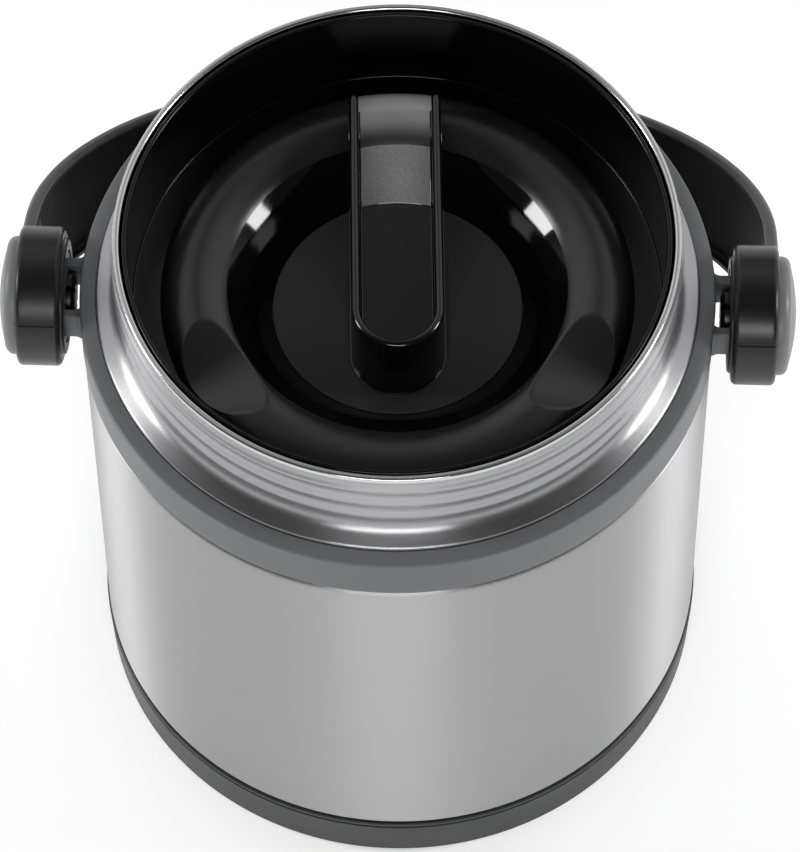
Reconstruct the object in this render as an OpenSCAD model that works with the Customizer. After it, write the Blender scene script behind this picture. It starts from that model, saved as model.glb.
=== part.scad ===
// Insulated food jar: a double-walled steel vessel on a plastic base, closed by a
// grip stopper in its mouth and carried by a swinging bail on a collar.
// Millimetres, +Z up, origin on the table under the middle of the vessel.
// X runs through the two bail pivots, -Y is the front.

/* [Vessel] */
// Inner radius of the mouth
mouth_r = 80; // [72:0.5:84]
// Height of the rim over the table
vessel_h = 208.6; // [190:0.2:240]
// How far the steel body stands out of its neck
shoulder_w = 10.7; // [9:0.1:14]
// Thickness of the steel sheet
sheet = 0.7; // [0.5:0.1:0.9]
// Vacuum gap between the two walls of the neck
neck_gap = 0.6; // [0.4:0.1:1]
// Vacuum gap between the two walls of the body
vacuum_gap = 5.2; // [4:0.1:6]
// Height of the rim over the collar
neck_h = 28.6; // [24:0.2:32]
// Height of the rolled lip at the rim
lip_h = 1.4; // [1:0.1:2]
// Height of the liner's floor over the table
floor_z = 27; // [24:0.5:34]
// Corner radius of the liner's floor
floor_corner = 16; // [8:1:24]
// Depth from the rim to the bead in the neck that the seal sits on
seat_depth = 48.2; // [46:0.2:54]
// Reach of that bead into the mouth
seat_reach = 1.3; // [0.9:0.1:1.6]
// Rounding of the body's top edge
body_edge = 1.6; // [1:0.1:2.5]

/* [Base] */
// Height of the base over the table
base_h = 19.7; // [16:0.1:26]
// Thickness of the base's wall
base_t = 2.3; // [1.8:0.1:3]
// How far the base's top stands out of the steel body
base_proud = 0.4; // [0:0.1:1.5]
// How much narrower the base is at the table than at its top
base_taper = 0.6; // [0:0.1:2]
// Dark gap between the base and the steel body
base_gap = 0.7; // [0.4:0.1:1.2]
// How far the rubber foot pad lies inside the base's lower edge
foot_inset = 8.5; // [5:0.1:16]
// Height of the foot pad that stands below the base
foot_proud = 0.8; // [0.4:0.1:1.2]
// Depth of the foot pad inside the base
foot_sunk = 1.2; // [1:0.1:1.8]

/* [Collar] */
// How far the collar stands out of the steel body
collar_proud = 0.3; // [0:0.1:2]
// Height of the collar
collar_h = 17.5; // [16:0.5:22]
// Thickness of the collar
collar_t = 4.8; // [4:0.1:6]
// Clear gap between the two ears of a pivot
ear_gap = 15.2; // [14:0.2:17]
// Thickness of an ear
ear_t = 2.8; // [2.5:0.1:4]
// Height of an ear
ear_h = 11.1; // [8:0.1:13]
// Height of an ear's top over the pivot axis
ear_up = 5.2; // [4:0.1:7]
// Length of an ear between the collar and the pivot plate
ear_l = 4.2; // [4:0.1:6]
// Radius of the pivot plate
plate_r = 13.5; // [13:0.1:14.5]
// Thickness of the pivot plate
plate_t = 1.7; // [1.4:0.1:2.5]

/* [Bail] */
// Radius of a pivot hub
hub_r = 20.5; // [20:0.5:22]
// Width of a pivot hub outside the pivot plate
hub_w = 11.8; // [11:0.2:14]
// How far the hub's boss reaches inwards over the pivot plate
boss_over = 2.3; // [1.5:0.1:2.6]
// How far the boss stands out of the hub's inner face
boss_h = 1.2; // [0.6:0.1:1.8]
// Wall of the boss round the pivot plate
boss_t = 3.4; // [2:0.1:4]
// Radius of the snap spigot that turns in the pivot plate
spigot_r = 6.1; // [5:0.1:6.3]
// Height of the snap spigot's barb over the spigot
barb = 0.7; // [0.4:0.1:0.8]
// Radius of the lock pin inside the spigot
lock_r = 3.4; // [2.5:0.1:3.6]
// Width of the spigot's slots
slot_w = 1.4; // [1:0.1:2]
// Radius of the grey hub cap
cap_r = 17.4; // [15:0.2:18]
// How far the hub cap stands out of the hub
cap_h = 5.7; // [3:0.1:7]
// Length of the straight arm from the pivot to the strap
arm_l = 22.4; // [20.8:0.2:26]
// Width of the strap
strap_w = 34; // [28:0.5:38]
// Depth of the strap's channel section
strap_t = 4.4; // [4:0.1:6]
// Thickness of the strap's skin and flanges
strap_skin = 2; // [1.6:0.1:2.2]
// How far the strap's outer face stands out of the hub's outer face
strap_proud = 0.2; // [0:0.1:0.4]
// Length of the tongue that holds the strap on its arm, in degrees of the arch
tongue_deg = 7; // [4:1:12]
// Angle below the level at which the friction of its pivots holds the resting bail
rest_deg = 32; // [20:1:34]

/* [Stopper] */
// Gap between the stopper's sleeve and the neck
sleeve_gap = 0.6; // [0.4:0.1:0.9]
// Wall thickness of the stopper
stopper_t = 2; // [1.6:0.1:2.4]
// Depth of the stopper's edge below the rim
edge_depth = 0.6; // [0.3:0.1:3]
// Depth from the rim to the groove round the grip ring
groove_depth = 31.1; // [28:0.1:34]
// Width of the groove between the sleeve and the grip ring
groove_w = 8.1; // [7:0.1:11]
// Width of the grip ring
ring_w = 19.5; // [17.5:0.1:22]
// Width of the conical basin inside the grip ring
basin_w = 13.1; // [11:0.1:15]
// Height of the grip ring's crown over the groove
crown_h = 7.5; // [6:0.1:9]
// Height of the grip ring's inner edge over the groove
recess_edge_h = 4.3; // [3.5:0.1:4.8]
// Depth of the recess floor below the groove
recess_depth = 7.4; // [5:0.1:9]
// Depth of a finger scallop in the grip ring
scallop = 3.3; // [1:0.1:3.5]
// Angle of each finger scallop from the grip's nose
scallop_deg = 60; // [50:1:75]
// Resting turn of the closed stopper about its own axis
closed_turn = 2.8; // [0:0.1:8]
// Depth from the rim to the stopper's underside
stopper_depth = 62; // [59:0.5:66]
// Thickness of the seal
seal_h = 5.4; // [4.6:0.1:6]

/* [Grip] */
// Outer width of the grip bar
bar_w = 27; // [24:0.5:30]
// Thickness of the grip bar's cheeks
bar_t = 2.75; // [2.2:0.05:3.2]
// Depth of the grip bar's top below the rim
bar_depth = 12.6; // [8:0.1:16]
// Distance of the grip bar's nose from the centre disc's edge
nose_inset = 7.1; // [5:0.1:10]
// Reach of the grip bar's back end past the basin
tail_reach = 9.7; // [6:0.1:12]
// Thickness of the centre disc and of the grip's floor
disc_t = 2.1; // [1.6:0.1:2.6]

/* [Fits] */
// Seat clearance between pieces that are fixed together
seat_gap = 0.1; // [0.05:0.01:0.15]
// Radial running clearance of the bail pivots
pivot_gap = 0.08; // [0.05:0.01:0.1]
// Clearance between parts that move past or rest on each other
move_gap = 0.3; // [0.3:0.05:0.4]

/* [Hidden] */
$fn = 128;
over = 0.5;

// Vessel radii and heights
neck_r = mouth_r + 2 * sheet + neck_gap;
body_r = neck_r + shoulder_w;
collar_r = body_r + collar_proud;
base_r = body_r + base_proud;
foot_r = base_r - base_taper - foot_inset;
liner_r = body_r - 2 * sheet - vacuum_gap;
collar_top = vessel_h - neck_h;
collar_z = collar_top - collar_h;
step_r = collar_r - collar_t - seat_gap;
foot_fillet = 2.2;
shoulder_edge = 2;
shoulder_up = 1.2;
shoulder_rise = 1.9;
low_r = body_r - base_t - seat_gap;
step_up = 1.2;
low_edge = 1.1;
shell_z = 7;
bottom_z = shell_z + 3;
bottom_rise = 6;
plate_top = bottom_z + bottom_rise;
seal_hole = 2;
seal_r = 7;
seal_t = 1.2;
bead_r = 4;
seat_z = vessel_h - seat_depth - bead_r * sin(acos((bead_r - seat_reach) / bead_r));
neck_slope = 24;
liner_shoulder = 10;

// Pivots and bail
pivot_z = collar_z + collar_h / 2;
ear_x = collar_r + ear_l;
plate_x = ear_x + plate_t;
hub_x = plate_x + move_gap;
hub_out = hub_x + hub_w;
bail_r = hub_out + strap_proud;
strap_in = bail_r - strap_t;
bore_r = spigot_r + pivot_gap;
boss_x = hub_x - boss_over;
boss_r = plate_r + move_gap + boss_t;

// Stopper levels and radii
sleeve_r = mouth_r - sleeve_gap;
wall_r = sleeve_r - stopper_t;
ring_r = wall_r - groove_w;
recess_r = ring_r - ring_w;
disc_r = recess_r - basin_w;
nose_y = disc_r - nose_inset;
tail_y = recess_r + tail_reach;
edge_z = vessel_h - edge_depth;
groove_z = vessel_h - groove_depth;
floor_top = groove_z - recess_depth;
deck_z = floor_top - disc_t;
bar_top = vessel_h - bar_depth;
seal_z = vessel_h - seat_depth + move_gap;
skirt_z = seal_z + seal_h + move_gap;
neckring_r = wall_r - seat_gap;
flange_r = mouth_r - seat_reach - sleeve_gap;
under_z = vessel_h - stopper_depth;

// Points of an arc about c with radius r from angle a to angle b
function arc(c, r, a, b, n = 10) =
    [for (i = [0:n]) let (t = a + (b - a) * i / n) c + r * [cos(t), sin(t)]];
function flip(p) = [for (i = [len(p) - 1:-1:0]) p[i]];

// ---- Vessel -------------------------------------------------------------

// Outside of the outer shell from its lower edge to the lip, o inside the surface
function shell_path(o) = concat(
    [[low_r - o, shell_z]],
    arc([low_r + step_up, base_h - step_up], step_up + o, 180, 90),
    arc([body_r - low_edge, base_h + low_edge], low_edge - o, -90, 0),
    arc([body_r - body_edge, collar_z - body_edge], body_edge - o, 0, 90),
    [[step_r - o, collar_z - o]],
    arc([step_r - shoulder_edge, collar_top + shoulder_up - shoulder_edge], shoulder_edge - o, 0, 75),
    arc([neck_r + foot_fillet, collar_top + shoulder_rise + foot_fillet], foot_fillet + o, 255, 180),
    [[neck_r - o, vessel_h - lip_h]]);

module outer_shell() {
    color("silver")
        rotate_extrude()
            polygon(concat(shell_path(0), flip(shell_path(sheet))));
}

// Inside of the liner from under its lip to the middle of its floor, o outside the surface
function liner_path(o) =
    let (cx = mouth_r - seat_reach + bead_r,
         a = 180 - acos((cx - mouth_r - o) / (bead_r - o)))
    concat(
        [[mouth_r + o, vessel_h - lip_h]],
        arc([cx, seat_z], bead_r - o, a, 180 + neck_slope * 2),
        arc([liner_r - liner_shoulder, seat_z - 2 * liner_shoulder], liner_shoulder + o, 90 - neck_slope, 0),
        arc([liner_r - floor_corner, floor_z + floor_corner], floor_corner + o, 0, -90),
        [[0, floor_z - o]]);

module inner_liner() {
    roll = lip_h / 2;
    color("gainsboro")
        rotate_extrude()
            polygon(concat(
                flip(liner_path(0)),
                arc([mouth_r + roll, vessel_h - roll], roll, 180, 90),
                arc([neck_r - roll, vessel_h - roll], roll, 90, 0),
                [[neck_r, vessel_h - lip_h]],
                liner_path(sheet)));
}

// Domed plate welded into the lower end of the outer shell, with a dimple for the seal
module shell_bottom() {
    r = low_r - sheet - seat_gap;
    dish_r = (r * r + bottom_rise * bottom_rise) / (2 * bottom_rise);
    c = plate_top - dish_r;
    steps = 10;
    color("silver")
        rotate_extrude()
            polygon(concat(
                [for (i = [0:steps]) let (x = seal_hole + (r - seal_hole) * i / steps)
                    [x, c + sqrt(pow(dish_r, 2) - x * x)]],
                [[r, shell_z], [r - sheet, shell_z]],
                [for (i = [steps:-1:0]) let (x = seal_hole + (r - sheet - seal_hole) * i / steps)
                    [x, c + sqrt(pow(dish_r - sheet, 2) - x * x)]]));
}

// Brazed disc that closes the hole through which the vacuum was drawn
module seal_disc() {
    color("goldenrod")
        translate([0, 0, plate_top - sheet - seal_t - seat_gap])
            cylinder(r = seal_r, h = seal_t);
}

// Gas-absorbing tablet in a holder on the inside of the bottom plate
module getter() {
    holder_r = 8;
    holder_t = 0.8;
    tablet_r = 5.5;
    tablet_t = 1.6;
    color("dimgray")
        translate([0, 0, plate_top + seat_gap]) {
            cylinder(r = holder_r, h = holder_t);
            translate([0, 0, holder_t]) cylinder(r = tablet_r, h = tablet_t);
        }
}

// Thin foil sleeve round the liner, which reflects heat inside the vacuum
module heat_shield() {
    foil = 0.3;
    foil_in = liner_r + sheet + seat_gap;
    low = floor_z + floor_corner;
    color("lightgray")
        translate([0, 0, low])
            difference() {
                cylinder(r = foil_in + foil, h = seat_z - 2 * liner_shoulder - low);
                translate([0, 0, -over])
                    cylinder(r = foil_in, h = vessel_h);
            }
}

// ---- Base ---------------------------------------------------------------

// Plastic cup round the lower end of the vessel, with a recess for the foot pad
module base_cup() {
    z0 = foot_proud;
    pad_cover = 1.4;
    floor_top_z = z0 + foot_sunk + pad_cover;
    top = base_h - base_gap;
    in_r = low_r + seat_gap;
    r0 = base_r - base_taper;
    edge = 1.2;
    line_down = 1.6;
    line_z = top - line_down;
    line = 0.5;
    lip = 0.4;
    ledge_w = 4;
    ledge_slope = 2;
    color("#46474a")
        difference() {
            rotate_extrude()
                polygon(concat(
                    [[0, z0], [r0 - edge, z0]],
                    arc([r0 - edge, z0 + edge], edge, -90, 0),
                    [[base_r, line_z - line], [base_r - line, line_z - line],
                     [base_r - line, line_z], [base_r, line_z],
                     [base_r, top - lip], [base_r - lip, top], [low_r + step_up, top],
                     [in_r, top - step_up], [in_r, shell_z - seat_gap],
                     [in_r - ledge_w, shell_z - seat_gap],
                     [in_r - ledge_w, floor_top_z + ledge_slope],
                     [in_r - ledge_w - ledge_slope, floor_top_z], [0, floor_top_z]]));
            // Recess for the foot pad
            translate([0, 0, -over])
                cylinder(r = foot_r + seat_gap, h = over + z0 + foot_sunk + seat_gap);
        }
}

// Rubber pad that keeps the jar from sliding
module foot_pad() {
    bevel = 0.5;
    color("#2b2b2b")
        rotate_extrude()
            polygon([[0, 0], [foot_r - bevel, 0], [foot_r, bevel],
                     [foot_r, foot_proud + foot_sunk], [0, foot_proud + foot_sunk]]);
}

// ---- Collar -------------------------------------------------------------

// Along X, from x0 outwards, on the pivot axis
module along_x(x0) {
    translate([x0, 0, pivot_z]) rotate([0, 90, 0]) children();
}

// One rounded ear between the collar and the pivot plate, at distance y
module ear(y) {
    corner = 0.8;
    x0 = collar_r - collar_t / 2;
    translate([x0, y, pivot_z + ear_up - ear_h])
        cube([ear_x - x0 + over, ear_t, ear_h - corner]);
    translate([x0, y + corner, pivot_z + ear_up - ear_h])
        cube([ear_x - x0 + over, ear_t - 2 * corner, ear_h]);
    for (dy = [corner, ear_t - corner])
        translate([x0, y + dy, pivot_z + ear_up - corner])
            rotate([0, 90, 0]) cylinder(r = corner, h = ear_x - x0 + over, $fn = 32);
}

// Ears, plate and bore of the pivot on the +X side
module pivot_lug() {
    plate_edge = 0.5;
    difference() {
        union() {
            ear(ear_gap / 2);
            ear(-ear_gap / 2 - ear_t);
            along_x(ear_x)
                rotate_extrude()
                    polygon([[0, 0], [plate_r, 0], [plate_r, plate_t - plate_edge],
                             [plate_r - plate_edge, plate_t], [0, plate_t]]);
        }
        along_x(ear_x - over) cylinder(r = bore_r, h = plate_t + 2 * over);
    }
}

module collar() {
    in_r = collar_r - collar_t;
    drop = 0.7;
    edge = 0.6;
    reveal = 0.5;
    reveal_in = 1.6;
    bevel = 0.3;
    color("#707275") {
        rotate_extrude()
            polygon(concat(
                [[in_r, collar_z], [collar_r - reveal_in, collar_z],
                 [collar_r - reveal_in, collar_z + reveal]],
                arc([collar_r - edge, collar_z + reveal + edge], edge, -90, 0, 4),
                arc([collar_r - edge, collar_top - drop - edge], edge, 0, 80, 4),
                [[in_r + bevel, collar_top], [in_r, collar_top - bevel]]));
        pivot_lug();
        mirror([1, 0, 0]) pivot_lug();
    }
}

// ---- Bail ---------------------------------------------------------------

// The bail's own plane: X along the pivots, Y from the pivots to the strap,
// Z across the strap, laid back by the resting angle
module bail_frame() {
    translate([0, 0, pivot_z]) rotate([-rest_deg, 0, 0]) children();
}

module rounded_2d(w, h, r) {
    translate([r, 0]) square([w - 2 * r, h]);
    translate([0, r]) square([w, h - 2 * r]);
    for (x = [r, w - r], y = [r, h - r]) translate([x, y]) circle(r = r, $fn = 32);
}

// Section of the strap: radius along X, width along Y, open towards the jar
module strap_section() {
    edge = 1.5;
    translate([strap_in, -strap_w / 2])
        difference() {
            rounded_2d(strap_t, strap_w, edge);
            translate([-over, strap_skin])
                square([strap_t - strap_skin + over, strap_w - 2 * strap_skin]);
        }
}

// Section of the tongue that fills the strap's channel
module tongue_section() {
    recess = 0.8;
    translate([strap_in + recess, -strap_w / 2 + strap_skin + seat_gap])
        square([strap_t - strap_skin - recess - seat_gap, strap_w - 2 * strap_skin - 2 * seat_gap]);
}

// Radial pockets under the hub cap, which leave ribs of even thickness
module hub_pockets() {
    ribs = 8;
    rib_t = 1.6;
    wall = 2;
    difference() {
        cylinder(r = cap_r - wall, h = hub_w);
        translate([0, 0, -over]) cylinder(r = spigot_r + rib_t, h = hub_w + 2 * over);
        for (i = [0:ribs / 2 - 1])
            rotate([0, 0, 180 * i / (ribs / 2)])
                translate([-hub_r, -rib_t / 2, -over]) cube([2 * hub_r, rib_t, hub_w + 2 * over]);
    }
}

cap_seat = 3;
head_t = 1.2;
head_r = lock_r + 1.6;
barb_l = 2.4;
spigot_in = ear_x - move_gap;
spigot_end = spigot_in - barb_l;

// Hub, arm and snap spigot on the +X side, in the bail's plane
module hub_arm() {
    edge = 1.6;
    boss_edge = 0.9;
    width = hub_out - boss_x;
    tip = 0.4;
    lead_in = 1.2;
    pocket_floor = 2.4;
    slot_past = 2;
    line_w = 0.6;
    line_depth = 0.5;
    difference() {
        union() {
            // Hub with its boss, hollow round the pivot plate and its ears
            translate([boss_x, 0, 0]) rotate([0, 90, 0])
                rotate_extrude()
                    polygon(concat(
                        [[0, boss_over], [boss_r - boss_t, boss_over], [boss_r - boss_t, 0]],
                        arc([boss_r - boss_edge, boss_edge], boss_edge, -90, 0, 6),
                        [[boss_r, boss_h]],
                        arc([hub_r - edge, boss_h + edge], edge, -90, 0, 6),
                        arc([hub_r - edge, width - edge], edge, 0, 90, 6),
                        [[0, width]]));
            // Straight arm up to the seam with the strap
            rotate([-90, 0, 0])
                linear_extrude(arm_l - seat_gap)
                    arm_section();
            // Tongue inside the strap's channel
            translate([0, arm_l, 0])
                rotate_extrude(angle = tongue_deg) tongue_section();
            translate([0, arm_l - 1, 0]) rotate([90, 0, 0])
                translate([0, 0, -1]) linear_extrude(2) tongue_section();
            // Snap spigot through the pivot plate
            translate([spigot_end, 0, 0]) rotate([0, 90, 0])
                rotate_extrude()
                    polygon([[0, 0], [spigot_r - tip, 0], [spigot_r + barb, lead_in],
                             [spigot_r + barb, barb_l], [spigot_r, barb_l],
                             [spigot_r, hub_x - spigot_end + over], [0, hub_x - spigot_end + over]]);
        }
        // Seat of the cap
        translate([hub_out - cap_seat, 0, 0]) rotate([0, 90, 0])
            cylinder(r = cap_r + seat_gap, h = 2 * cap_seat);
        // Hollow of the spigot, and its head seat
        translate([spigot_end - over, 0, 0]) rotate([0, 90, 0])
            cylinder(r = lock_r + seat_gap, h = hub_w + hub_out);
        translate([hub_out - cap_seat - head_t, 0, 0]) rotate([0, 90, 0])
            cylinder(r = head_r + seat_gap, h = head_t + over);
        // Slots that let the spigot's fingers spring
        for (a = [45, 135])
            rotate([a, 0, 0])
                translate([spigot_end - over, -slot_w / 2, -spigot_r - barb - over])
                    cube([hub_x - spigot_end + slot_past, slot_w, 2 * (spigot_r + barb + over)]);
        translate([hub_x + pocket_floor, 0, 0]) rotate([0, 90, 0]) hub_pockets();
        // Parting line across the rim opposite the arm
        translate([boss_x - over, -hub_r - over, -line_w / 2])
            cube([width + 2 * over, over + line_depth, line_w]);
    }
}

// Solid outline of the arm: depth along X, width along Y
module arm_section() {
    edge = 1.5;
    translate([strap_in, -strap_w / 2]) rounded_2d(strap_t, strap_w, edge);
}

module hub_arm_right() {
    color("#222224") bail_frame() hub_arm();
}

module hub_arm_left() {
    color("#222224") bail_frame() mirror([1, 0, 0]) hub_arm();
}

// Pin that keeps the spigot's fingers spread, pressed in from under the cap
module lock_pin() {
    x1 = hub_out - cap_seat - head_t + seat_gap;
    color("#303033") {
        translate([spigot_end, 0, 0]) rotate([0, 90, 0]) cylinder(r = lock_r, h = x1 - spigot_end + 0.01);
        translate([x1, 0, 0]) rotate([0, 90, 0])
            cylinder(r = head_r, h = head_t - 2 * seat_gap);
    }
}

module lock_pin_right() {
    bail_frame() lock_pin();
}

module lock_pin_left() {
    bail_frame() mirror([1, 0, 0]) lock_pin();
}

// Domed cap that closes the hub
module hub_cap() {
    wall = 1.6;
    side_h = 1.5;
    skirt = cap_seat - seat_gap + side_h;
    rise = cap_h - side_h;
    edge = 1;
    dome_r = (pow(cap_r - edge, 2) + rise * rise) / (2 * rise);
    half = asin((cap_r - edge) / dome_r);
    color("#7f8184")
        translate([hub_out - cap_seat + seat_gap, 0, 0]) rotate([0, 90, 0])
            rotate_extrude()
                polygon(concat(
                    [[cap_r - wall, 0], [cap_r, 0], [cap_r, skirt - edge]],
                    [for (i = [0:10]) let (t = half * (1 - i / 10))
                        [dome_r * sin(t), skirt + rise - dome_r + dome_r * cos(t)]],
                    [for (i = [0:10]) let (t = half * i / 10)
                        [(dome_r - wall) * sin(t) * (cap_r - wall) / ((dome_r - wall) * sin(half)),
                         skirt + rise - dome_r + (dome_r - wall) * cos(t)]]));
}

module hub_cap_right() {
    bail_frame() hub_cap();
}

module hub_cap_left() {
    bail_frame() mirror([1, 0, 0]) hub_cap();
}

// Half-round carrying strap between the two arms
module bail_strap() {
    color("#242426")
        bail_frame()
            translate([0, arm_l, 0])
                rotate_extrude(angle = 180) strap_section();
}

// ---- Stopper ------------------------------------------------------------

module stopper_frame() {
    rotate([0, 0, closed_turn]) children();
}

crown_r = (ring_r + recess_r) / 2 - 0.5;
crown_arc = 18.7;
outer_arc = 6;

// Upper face of the stopper from its middle to its groove, o below the surface:
// a seat for the disc, a conical basin, and the grip ring's inner and outer flanks
function deck_path(o) =
    let (edge = [recess_r, groove_z + recess_edge_h],
         foot = [disc_r + seat_gap, floor_top],
         slope = atan2(edge[1] - foot[1], edge[0] - foot[0]),
         below = o * [sin(slope), -cos(slope)],
         start = foot + below + (deck_z - o - foot[1] - below[1]) / tan(slope) * [1, tan(slope)],
         run = crown_r - recess_r,
         drop = crown_h - recess_edge_h,
         inner_arc = (run * run + drop * drop) / (2 * drop),
         c = [crown_r, groove_z + crown_h - crown_arc],
         turn = acos((ring_r - outer_arc - crown_r) / (crown_arc - outer_arc)),
         c2 = c + (crown_arc - outer_arc) * [cos(turn), sin(turn)])
    concat(
        [[0, deck_z - o]],
        o == 0 ? [[foot[0], deck_z], foot] : [start],
        arc([crown_r, groove_z + crown_h - inner_arc], inner_arc - o, 90 + asin(run / inner_arc), 90, 12),
        arc(c, crown_arc - o, 90 - (90 - turn) / 6, turn, 6),
        arc(c2, outer_arc - o, turn - 10, 0, 8),
        [[ring_r - o, groove_z - o]]);

// Cone that dishes the grip ring for one finger, along +X, o below the surface
module scallop_cut(o) {
    inner = 55;
    outer = 30;
    fall = 3.5;
    reach = ring_r - recess_r;
    half = atan((inner - outer) / reach);
    length = inner / tan(half);
    x = recess_r + length * cos(fall);
    z = groove_z + crown_h - scallop + (crown_r - x) * tan(fall) - o;
    h = 90;
    intersection() {
        cylinder(r = ring_r + over, h = vessel_h);
        translate([x, 0, z])
            rotate([0, fall + half - 90, 0]) cylinder(r1 = 0, r2 = h * tan(half), h = h);
    }
}

// Both finger scallops, o below the surface
module scallops(o) {
    for (s = [-1, 1])
        rotate([0, 0, -90 + s * scallop_deg]) scallop_cut(o);
}

// Sleeve, groove, grip ring and recess in one moulding of even wall
module stopper_bowl() {
    round = 2.5;
    tip = 0.9;
    color("#141415")
        stopper_frame()
            difference() {
                rotate_extrude()
                    polygon(concat(
                        deck_path(0),
                        arc([wall_r - round, groove_z + round], round, -90, 0, 6),
                        arc([wall_r + tip, edge_z - tip], tip, 180, 90, 4),
                        arc([sleeve_r - tip, edge_z - tip], tip, 90, 0, 4),
                        [[sleeve_r, skirt_z], [0, skirt_z]]));
                scallops(0);
                // Hollow under the face, dished below the scallops too
                difference() {
                    rotate_extrude()
                        polygon(concat(
                            deck_path(stopper_t),
                            [[wall_r, groove_z - stopper_t], [wall_r, skirt_z - over],
                             [0, skirt_z - over]]));
                    scallops(stopper_t);
                }
            }
}

// Everything below the stopper's upper face, raised by the seat clearance
module below_deck() {
    translate([0, 0, seat_gap])
        rotate_extrude()
            polygon(concat(deck_path(0),
                           [[wall_r, groove_z], [wall_r, under_z], [0, under_z]]));
}

// Outline of the grip bar seen from above, d inside its outer face, open at the back
module bar_outline(d) {
    r = bar_w / 2 - d;
    translate([0, -nose_y + bar_w / 2]) circle(r = r);
    translate([-r, -nose_y + bar_w / 2])
        square([2 * r, nose_y - bar_w / 2 + tail_y + (d > 0 ? 2 * bar_t : 0)]);
}

// U-shaped grip bar: two cheeks joined at the nose, with a floor between them
module grip_bar() {
    mid = bar_w / 2 - bar_t / 2;
    roll = bar_t / 2;
    ny = -nose_y + bar_w / 2;
    color("#1a1a1c")
        stopper_frame()
            difference() {
                union() {
                    // Cheeks and nose
                    translate([0, 0, deck_z])
                        linear_extrude(bar_top - roll - deck_z)
                            difference() {
                                bar_outline(0);
                                bar_outline(bar_t);
                            }
                    // Rounded top of the cheeks and the nose
                    for (s = [-1, 1])
                        translate([s * mid, ny, bar_top - roll])
                            rotate([-90, 0, 0]) cylinder(r = roll, h = tail_y - ny, $fn = 32);
                    translate([0, ny, bar_top - roll])
                        rotate([0, 0, 180])
                            rotate_extrude(angle = 180) translate([mid, 0]) circle(r = roll, $fn = 32);
                    // Floor inside the bar, up to the foot of the basin
                    intersection() {
                        translate([0, 0, deck_z]) linear_extrude(disc_t) bar_outline(roll);
                        cylinder(r = disc_r, h = vessel_h);
                    }
                }
                below_deck();
            }
}

// Matte disc in the recess, cut out round the grip bar
module centre_disc() {
    edge = 0.5;
    color("#2c2c2e")
        stopper_frame()
            difference() {
                translate([0, 0, deck_z + seat_gap])
                    rotate_extrude()
                        polygon([[0, 0], [disc_r, 0], [disc_r, disc_t - seat_gap - edge],
                                 [disc_r - edge, disc_t - seat_gap], [0, disc_t - seat_gap]]);
                translate([0, 0, under_z]) linear_extrude(vessel_h) bar_outline(-seat_gap);
            }
}

cup_r = flange_r - 1.5;
cup_corner = 6;

// Lower shell of the stopper: a neck ring inside the sleeve, a flange and a cup
module stopper_base() {
    ring_down = 2.4;
    ring_top = groove_z - stopper_t - ring_down;
    flange_t = 2.4 - move_gap;
    slant = 0.8;
    flange_z = seal_z - move_gap - flange_t;
    color("#1d1d1f")
        stopper_frame()
            rotate_extrude()
                polygon(concat(
                    [[0, under_z]],
                    arc([cup_r - cup_corner, under_z + cup_corner], cup_corner, -90, 0),
                    [[cup_r, flange_z - slant], [flange_r, flange_z], [flange_r, seal_z - move_gap],
                     [neckring_r, seal_z - move_gap], [neckring_r, ring_top],
                     [neckring_r - stopper_t, ring_top], [neckring_r - stopper_t, seal_z]],
                    arc([cup_r - cup_corner, under_z + cup_corner], cup_corner - stopper_t, 0, -90),
                    [[0, under_z + stopper_t]]));
}

// Foam that fills the stopper between its deck and its base
module stopper_core() {
    core_gap = 0.4;
    r = neckring_r - stopper_t - core_gap;
    color("ivory")
        stopper_frame()
            difference() {
                rotate_extrude()
                    polygon(concat(
                        deck_path(stopper_t + core_gap),
                        [[r, groove_z - stopper_t - core_gap], [r, seal_z + 1]],
                        arc([cup_r - cup_corner, under_z + cup_corner],
                            cup_corner - stopper_t - core_gap, 0, -90),
                        [[0, under_z + stopper_t + core_gap]]));
                scallops(stopper_t + core_gap);
            }
}

// Silicone ring between the sleeve and the base's flange, with two lips
module stopper_seal() {
    in_r = neckring_r + move_gap;
    out_r = mouth_r - move_gap;
    lip = 1.1;
    slant = 0.5;
    bevel = 0.4;
    web_r = out_r - 1;
    color("#b9bcbd")
        stopper_frame()
            rotate_extrude()
                polygon([[in_r, seal_z], [out_r - bevel, seal_z], [out_r, seal_z + bevel],
                         [out_r, seal_z + lip], [web_r, seal_z + lip + slant],
                         [web_r, seal_z + seal_h - lip - slant], [out_r, seal_z + seal_h - lip],
                         [out_r, seal_z + seal_h - bevel], [out_r - bevel, seal_z + seal_h],
                         [in_r, seal_z + seal_h]]);
}

outer_shell();
inner_liner();
shell_bottom();
heat_shield();
getter();
seal_disc();
base_cup();
foot_pad();
collar();
hub_arm_left();
hub_arm_right();
lock_pin_left();
lock_pin_right();
hub_cap_left();
hub_cap_right();
bail_strap();
stopper_bowl();
grip_bar();
centre_disc();
stopper_base();
stopper_core();
stopper_seal();
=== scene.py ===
"""Dresses the insulated food jar: meshes, finishes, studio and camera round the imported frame."""

import logging
import math
from collections.abc import Callable, Sequence
from dataclasses import dataclass, field
from enum import Enum
from typing import Any

import bmesh
import bpy
import numpy as np
from mathutils import Matrix, Vector


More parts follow.
